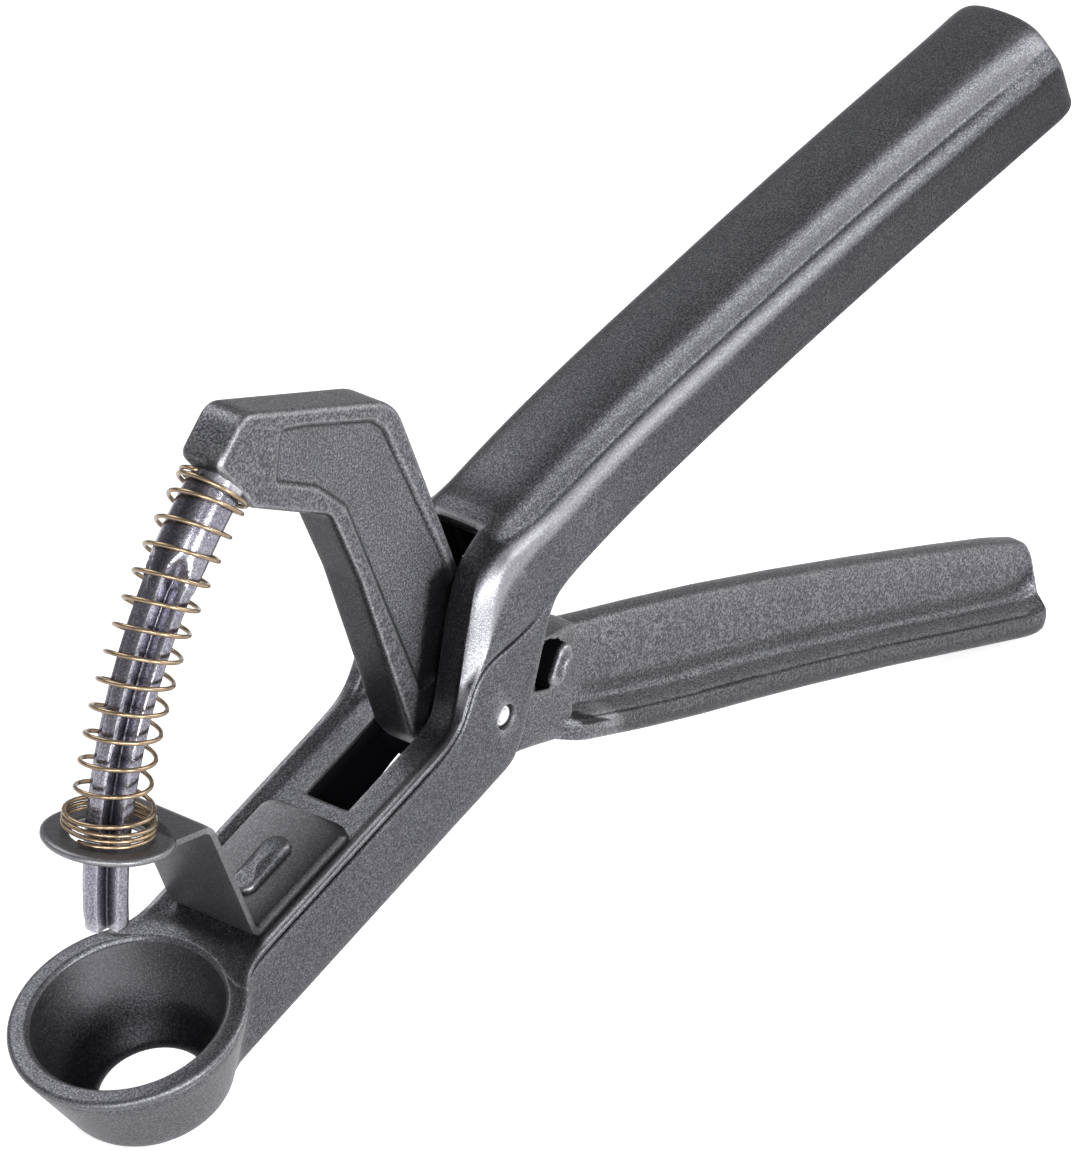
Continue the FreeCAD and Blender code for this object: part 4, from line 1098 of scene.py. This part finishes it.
def leverSection(depth, share):
    # half section, from the web's top down to the underside of the bead: y, height
    web = mixed(lever["webHalf"] + 0.5, lever["webHalf"], eased(share / 0.12))
    lip = mixed(lever["lipStart"], lever["lipHalf"], eased((share - 0.012) / 0.045))
    foot = mixed(*lever["footHalf"], eased((share - 0.02) / 0.08))
    return [
        (0.0, depth), (web * 0.55, depth - 0.12), (web * 0.88, depth - 0.6), (web, depth - 1.5),
        (web, max(depth * 0.62, 8.4)), (web, 7.3), (web + foot * 0.05, 6.6), (web + foot * 0.25, 6.0),
        (web + foot * 0.65, 5.6), (web + foot * 0.88, 5.3), (web + foot, 5.05), (web + foot * 1.1, 4.75),
        (max(lip - 2.2, web + 0.9), 4.42), (max(lip - 1.4, web + 0.92), 4.02), (lip - 0.85, 3.72),
        (lip - 0.6, 3.48), (lip - 0.25, 3.35), (lip, 2.85),
        (lip + 0.02, 2.25), (lip - 0.1, 1.5), (lip - 0.32, 0.7), (lip - 0.7, 0.12), (lip - 1.4, 0.0), (0.0, 0.0),
    ]


def leverUp(x, z):
    return (z - tableAt(lever["under"], x)) * lever["upShare"]


def leverShade(x, y, z):
    # painted shade: dark on the bead, most of all below, in the groove above it, in a pocket at the front and at the
    # web's foot
    wide, up = abs(y), leverUp(x, z)
    if wide > 2.2 and abs(x - 81.8) < 2.6 and 2.7 < up < 4.4 - 0.3 * (x - 79.2):
        return 0.85
    if wide > 5.0 and 3.42 < up < 3.56:
        return 0.7
    if wide > 4.0 and up < 3.42:
        return (0.42 + 0.22 * eased((2.2 - up) / 0.7)) * eased((x - 84.5) / 2.5)
    if wide < 2.95 and 5.2 < up < 7.6:
        return 0.5 * eased((up - 5.2) / 0.3) * eased((7.6 - up) / 1.4) * eased((x - 82) / 5)
    return 0.0


def leverHighlight(x, y, z):
    # painted highlight: the bead is bright, most of all at its front end
    wide, up = abs(y), leverUp(x, z)
    front = 0.6 * bell(x, 84.2, 1.8) if wide > 3.6 and up > 1.6 else 0.0
    ledge = 0.14 * eased((x - 84) / 4)
    return max(front, ledge if 2.6 < wide < 5.2 and 3.6 < up < 4.6 else 0.0)


def makeLever():
    bm = bmesh.new()
    rows = []
    for index in range(lever["rows"] + 1):
        share = index / lever["rows"]
        tx, tz = alongLine(lever["top"], share)
        bx, bz = alongLine(lever["under"], share)
        depth = math.dist((tx, tz), (bx, bz))
        section = leverSection(depth, share)
        rows.append([(bx + (tx - bx) * v / depth, y, bz + (tz - bz) * v / depth) for y, v in section])
    addHalves(bm, rows)
    return makePiece("lowerHandle", bm, *lowerCasting, sharp=60, levels=1, shade=leverShade, paintedLight=leverHighlight)


makeLever()
print("lower handle made")

neck = {
    # rows: top edge (x, z), underside (x, z), half thickness at the top and at the bottom
    "rows": [
        ((57.0, -2.4), (54.8, -4.2), 4.5, 4.5), ((60.5, -0.4), (55.6, -8.0), 4.5, 4.5),
        ((65.5, 2.0), (58.0, -11.8), 4.5, 4.5), ((71.0, -0.2), (64.0, -15.2), 4.5, 4.5),
        ((75.5, -3.4), (70.0, -18.2), 4.5, 4.5), ((79.5, -6.0), (74.0, -20.7), 4.4, 4.5),
        ((82.5, -8.0), (76.4, -22.2), 3.7, 4.5), ((84.8, -9.6), (77.5, -22.9), 2.8, 4.5),
        ((86.2, -10.8), (78.0, -23.2), 2.3, 4.5), ((86.8, -11.2), (78.3, -23.4), 2.0, 3.0),
    ],
    # half section: y as a share of the half thickness, height as a share of the row
    "section": (
        (0, 1.0), (0.72, 1.0), (0.93, 0.985), (1.0, 0.94), (1.0, 0.75), (1.0, 0.5), (1.0, 0.25), (1.0, 0.06),
        (0.93, 0.015), (0.72, 0.0), (0, 0.0),
    ),
    "pocket": [(76.6, -5.2), (79.9, -7.0), (81.7, -8.9), (77.0, -13.1), (74.6, -11.4)],
    "pocketFloor": 2.0,
}


def neckShade(x, y, z):
    # painted shade: dark between the cheeks and in the pockets
    deep = eased((74.4 - x + 0.82 * (z + 10.7)) / 1.2)
    line = neck["pocket"]
    inside = all(
        (c - a) * (z - b) - (d - b) * (x - a) < 0.16 * math.dist((a, b), (c, d))
        for (a, b), (c, d) in zip(line, line[1:] + line[:1])
    )
    return max(deep, 1.0 if inside and abs(y) > 1.9 else 0.0)


def neckHighlight(x, y, z):
    # painted highlight on the edge where the neck steps down to the handle
    back = x - 78.0 - 0.62 * (z + 23.2)
    return 0.75 * bell(back, 0, 0.45) * eased((-18.4 - z) / 1.2) if abs(y) > 3.2 else 0.0


def makeNeck():
    bm = bmesh.new()
    rows = []
    for (tx, tz), (bx, bz), topHalf, lowHalf in neck["rows"]:
        row = []
        for y, v in neck["section"]:
            half = mixed(lowHalf, topHalf, eased((v - 0.25) / 0.5))
            row.append((mixed(bx, tx, v), y * half, mixed(bz, tz, v)))
        rows.append(row)
    addHalves(bm, rows)
    cutters = [makeCutter(neck["pocket"], side * neck["pocketFloor"], side * 7.0) for side in (1, -1)]
    return makePiece("neck", bm, *lowerCasting, sharp=42, levels=2, cutters=cutters, shade=neckShade, paintedLight=neckHighlight)


makeNeck()
print("neck made")

boss = {
    "middle": (79.5, -11.0),
    "halfLength": 1.45,
    "radius": 1.5,
    "turn": math.radians(41.0),
    "face": 4.4,
    "tallest": 0.74,
    "rings": ((1.0, -1.4), (1.0, 0.3), (0.95, 0.6), (0.8, 0.74), (0.6, 0.72), (0.4, 0.5), (0.2, 0.45)),
}


def bossShade(x, y, z):
    # painted shade on the lower part of the bosses' walls
    return eased((4.75 - abs(y)) / 0.2)


def makeBosses():
    bm = bmesh.new()
    c, s = math.cos(boss["turn"]), math.sin(boss["turn"])
    mx, mz = boss["middle"]
    for side in (1, -1):
        rows = []
        for scale, height in boss["rings"]:
            y = side * (boss["face"] + height / boss["tallest"])
            loop = ovalLoop(boss["halfLength"] * scale, boss["radius"] * scale, 32)
            rows.append([place(mx + u * c - v * s, y, mz + u * s + v * c) for u, v in loop])
        addTube(bm, rows, capFirst=False)
    return makePiece("neckBosses", bm, *lowerCasting, levels=1, shade=bossShade)


makeBosses()
print("neck bosses made")

# ---- punch
punch = {
    "radius": 65.4,
    "start": math.radians(112.9),
    "sunk": 0.004,  # the collar starts this turn inside the arm
    "sweep": math.radians(50.3),
    "collarRadius": 3.5,
    "runout": (0.115, 0.225),  # the grooves between the ribs rise out of the collar between these turns
    "rib": 3.35,
    "ribEnd": 2.95,
    "ribHalf": 1.05,
    "count": 96,
    "parts": (8, 36, 40),  # rows on the collar, in the runout and along the ribs
    "tip": ((0.97, 0.006), (0.85, 0.002), (0.55, -0.012), (0.2, -0.018)),  # share of the section, turn past the end
}


def arcPlace(angle, reach, side):
    # point beside the punch's path: reach away from the pivot, side across
    r = punch["radius"] + reach
    return place(standing["pivotX"] + r * math.cos(angle), side, standing["pivotZ"] + r * math.sin(angle))


def crossSection(outer, half, count):
    # four round-ended ribs with a soft web between them
    section = []
    for step in range(count):
        angle = 2 * math.pi * (step + 0.5) / count
        c, s = math.cos(angle), math.sin(angle)
        small = min(abs(c), abs(s))
        reach = min(outer, half / small) if outer * small > half * 0.75 else outer
        if small > 0.5:
            reach = max(reach, half * 1.5)
        section.append((reach * c, reach * s))
    return section


def punchShade(x, y, z):
    # painted shade between the ribs, and a painted dark reflection down the side away from the light
    away = math.hypot(x - standing["pivotX"], z - standing["pivotZ"]) - punch["radius"]
    reach = max(math.hypot(away, y), 0.01)
    valleyShade = 0.7 * (1 - eased((reach - 1.5) / 1.1))
    paintedReflection = 0.62 * bell((0.46 * away + 0.89 * y) / reach, 0.42, 0.3) * eased((reach - 3.2) / 0.2)
    return max(valleyShade, paintedReflection)


def makePunch():
    bm = bmesh.new()
    rows = []
    first, last = punch["runout"]
    sweep, collar, start = punch["sweep"], punch["collarRadius"], punch["start"] - punch["sunk"]
    early, middle, late = punch["parts"]
    turns = [first * k / early for k in range(early)] + [mixed(first, last, k / middle) for k in range(middle + 1)]
    turns += [mixed(last, sweep, k / late) for k in range(1, late + 1)]
    for turn in turns:
        rise = collar * max((last - turn) / (last - first), 0) ** 1.5
        row = []
        for a, b in crossSection(mixed(punch["rib"], punch["ribEnd"], turn / sweep), punch["ribHalf"], punch["count"]):
            size = math.hypot(a, b)
            scale = min(collar, size + rise) / size
            row.append(arcPlace(start + turn, a * scale, b * scale))
        rows.append(row)
    # the tip is hollow, so the ribs' ends stand out
    section = crossSection(punch["ribEnd"], punch["ribHalf"], punch["count"])
    for size, past in punch["tip"]:
        rows.append([arcPlace(start + sweep + past, a * size, b * size) for a, b in section])
    addTube(bm, rows)
    return makePiece("punch", bm, "punch_side", "punch", "punch_metal", punchMetal, sharp=38, shade=punchShade)


makePunch()
print("punch made")

# ---- spring
spring = {
    "wire": 0.3,
    "coil": 4.55,
    "seatCoil": 5.6,
    "closedPitch": 0.72,
    "topTurns": 1.5,
    "openTurns": 12.5,
    "seatTurns": 3.0,
    "gap": 0.1,
    "start": math.radians(112.9),
    "end": math.radians(152.6),
    "perTurn": 28,
    "sides": 10,
    "openParts": 4,
    "probe": 0.002,  # turns to either side that give the wire's direction
}


def coilSpot(turn):
    # middle of the wire after that many turns from the arm, as (angle, reach, side)
    length = (spring["end"] - spring["start"]) * punch["radius"]
    ends = spring["topTurns"] + spring["seatTurns"]
    pitch = (length - 2 * (spring["wire"] + spring["gap"]) - ends * spring["closedPitch"]) / spring["openTurns"]
    opened = min(max(turn - spring["topTurns"], 0), spring["openTurns"])
    along = spring["wire"] + spring["gap"] + opened * pitch + (turn - opened) * spring["closedPitch"]
    share = eased(turn - spring["topTurns"] - spring["openTurns"] + 1)
    radius = mixed(spring["coil"], spring["seatCoil"], share)
    angle = spring["start"] + along / punch["radius"]
    return angle, radius * math.cos(2 * math.pi * turn), radius * math.sin(2 * math.pi * turn)


def wirePiece(name, first, last, body, capFirst=False, capLast=False):
    bm = bmesh.new()
    steps = max(4, round((last - first) * spring["perTurn"]))
    rows = []
    probe = spring["probe"]
    for step in range(steps + 1):
        turn = mixed(first, last, step / steps)
        here = arcPlace(*coilSpot(turn))
        ahead = (arcPlace(*coilSpot(turn + probe)) - arcPlace(*coilSpot(turn - probe))).normalized()
        core = arcPlace(coilSpot(turn)[0], 0, 0)
        out = here - core
        out = (out - ahead * out.dot(ahead)).normalized()
        side = ahead.cross(out)
        rows.append([here + (out * c + side * s) * spring["wire"] * 0.001 for c, s in circle(spring["sides"])])
    addTube(bm, rows, capFirst, capLast)
    return makePiece(name, bm, body, "return_spring", "spring_wire", brassWire)


def makeSpring():
    top, opened = spring["topTurns"], spring["openTurns"]
    total = top + opened + spring["seatTurns"]
    wirePiece("springTop", 0, top, "punch_side", capFirst=True)
    wirePiece("springSeat", top + opened, total, "cup_side", capLast=True)
    parts = spring["openParts"]
    for index in range(parts):
        first, last = top + opened * index / parts, top + opened * (index + 1) / parts
        piece = wirePiece(f"springOpen{index + 1}", first, last, None)
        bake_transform(piece)


makeSpring()
print("spring made")

# ---- pivot pin
pin = {
    "half": 9.1,
    "steps": 40,
    # end's rounding: radius, distance past the half length
    "profile": [
        (0.55, -0.32), (0.85, -0.16), (1.0, -0.02), (1.2, 0.0), (1.38, -0.06), (1.48, -0.2), (1.5, -0.5),
    ],
}


def makePin():
    bm = bmesh.new()
    rows = [(r, pin["half"] + y) for r, y in pin["profile"]]
    rows += [(r, -y) for r, y in rows[::-1]]
    px, pz = standing["pivotX"], standing["pivotZ"]
    addTube(bm, [[place(px + r * c, y, pz + r * s) for c, s in circle(pin["steps"])] for r, y in rows])
    return makePiece("pivotPin", bm, "cup_side", "pivot_pin", "pin_steel", pinSteel, sharp=40)


makePin()
print("pin made")

# ---- floor and light
studio = {
    "floorHalf": 3.0,
    "paper": {"Base_Color": (0.85, 0.85, 0.86, 1), "Roughness": 0.9, "Specular_IOR_Level": 0.1},
    "paperGlow": 0.55,
    "ambient": 0.3,
    "brightWay": (0.08, -0.73, -0.68),  # the side of the room with the light walls
    "dimmest": 0.36,
    "wallRange": (-0.65, 0.3),
    "aim": (0, 0, 0.045),
    "lamps": [  # name, (right, up, towards the camera) in metres, size, watts
        ("frontSoftbox", (0.05, -0.1, 1.3), 0.36, 8.0),
        ("lowSoftbox", (0.66, -0.3, 0.9), 0.32, 10.0),
        ("rightSoftbox", (1.0, 0.55, 0.2), 0.7, 7.0),
        ("backSoftbox", (-0.45, 0.72, 0.05), 0.5, 3.5),
        ("cupSoftbox", (-0.4, -0.36, 1.05), 0.28, 5.0),
    ],
}


def makeFloor():
    bm = bmesh.new()
    half = studio["floorHalf"]
    bm.faces.new([bm.verts.new((x, y, 0)) for x, y in ((-half, -half), (half, -half), (half, half), (-half, half))])
    floor = newObject("floor", bm)
    material, tree, shader = newMaterial("floorPaper")
    setInputs(tree, shader, **studio["paper"])
    rays = addNode(tree, "LightPath").outputs
    seen = mathNode(tree, "MAXIMUM", rays["Is Camera Ray"], rays["Is Glossy Ray"])
    seen = mathNode(tree, "MAXIMUM", seen, rays["Is Transmission Ray"])
    glow = addNode(tree, "Emission", Color=(1, 1, 1, 1), Strength=mathNode(tree, "MULTIPLY", seen, studio["paperGlow"]))
    both = addNode(tree, "AddShader")
    tree.links.new(shader.outputs[0], both.inputs[0])
    tree.links.new(glow.outputs[0], both.inputs[1])
    tree.links.new(both.outputs[0], tree.nodes["Material Output"].inputs["Surface"])
    floor.data.materials.append(material)


def makeWorld():
    world = bpy.data.worlds.new("studio")
    world.use_nodes = True
    tree = world.node_tree
    way = addNode(tree, "VectorMath")
    way.operation = "DOT_PRODUCT"
    tree.links.new(addNode(tree, "TexCoord").outputs["Generated"], way.inputs[0])
    way.inputs[1].default_value = studio["brightWay"]
    low, high = studio["wallRange"]
    walls = addNode(
        tree, "MapRange", Value=way.outputs["Value"], From_Min=low, From_Max=high, To_Min=studio["dimmest"],
    )
    walls.interpolation_type = "SMOOTHSTEP"
    rays = addNode(tree, "LightPath").outputs
    shiny = mathNode(tree, "MULTIPLY", rays["Is Glossy Ray"], walls.outputs[0])
    seen = mathNode(tree, "MAXIMUM", rays["Is Camera Ray"], rays["Is Transmission Ray"])
    soft = mathNode(tree, "MULTIPLY", rays["Is Diffuse Ray"], studio["ambient"])
    lit = mathNode(tree, "MAXIMUM", mathNode(tree, "MAXIMUM", seen, shiny), soft)
    setInputs(tree, tree.nodes["Background"], Color=(1, 1, 1, 1), Strength=lit)
    bpy.context.scene.world = world


def makeLamps():
    turn = camera.matrix_world.to_3x3()
    middle = Vector(studio["aim"])
    for name, offset, size, watts in studio["lamps"]:
        lamp = bpy.data.lights.new(name, "AREA")
        lamp.shape = "DISK"
        lamp.size = size
        lamp.energy = watts
        holder = bpy.data.objects.new(name, lamp)
        bpy.context.scene.collection.objects.link(holder)
        holder.location = middle + turn @ Vector(offset)
        holder.rotation_euler = (middle - holder.location).to_track_quat("-Z", "Y").to_euler()


makeFloor()
makeWorld()
makeLamps()
bpy.context.scene.view_settings.view_transform = "Standard"
print("floor and light made")
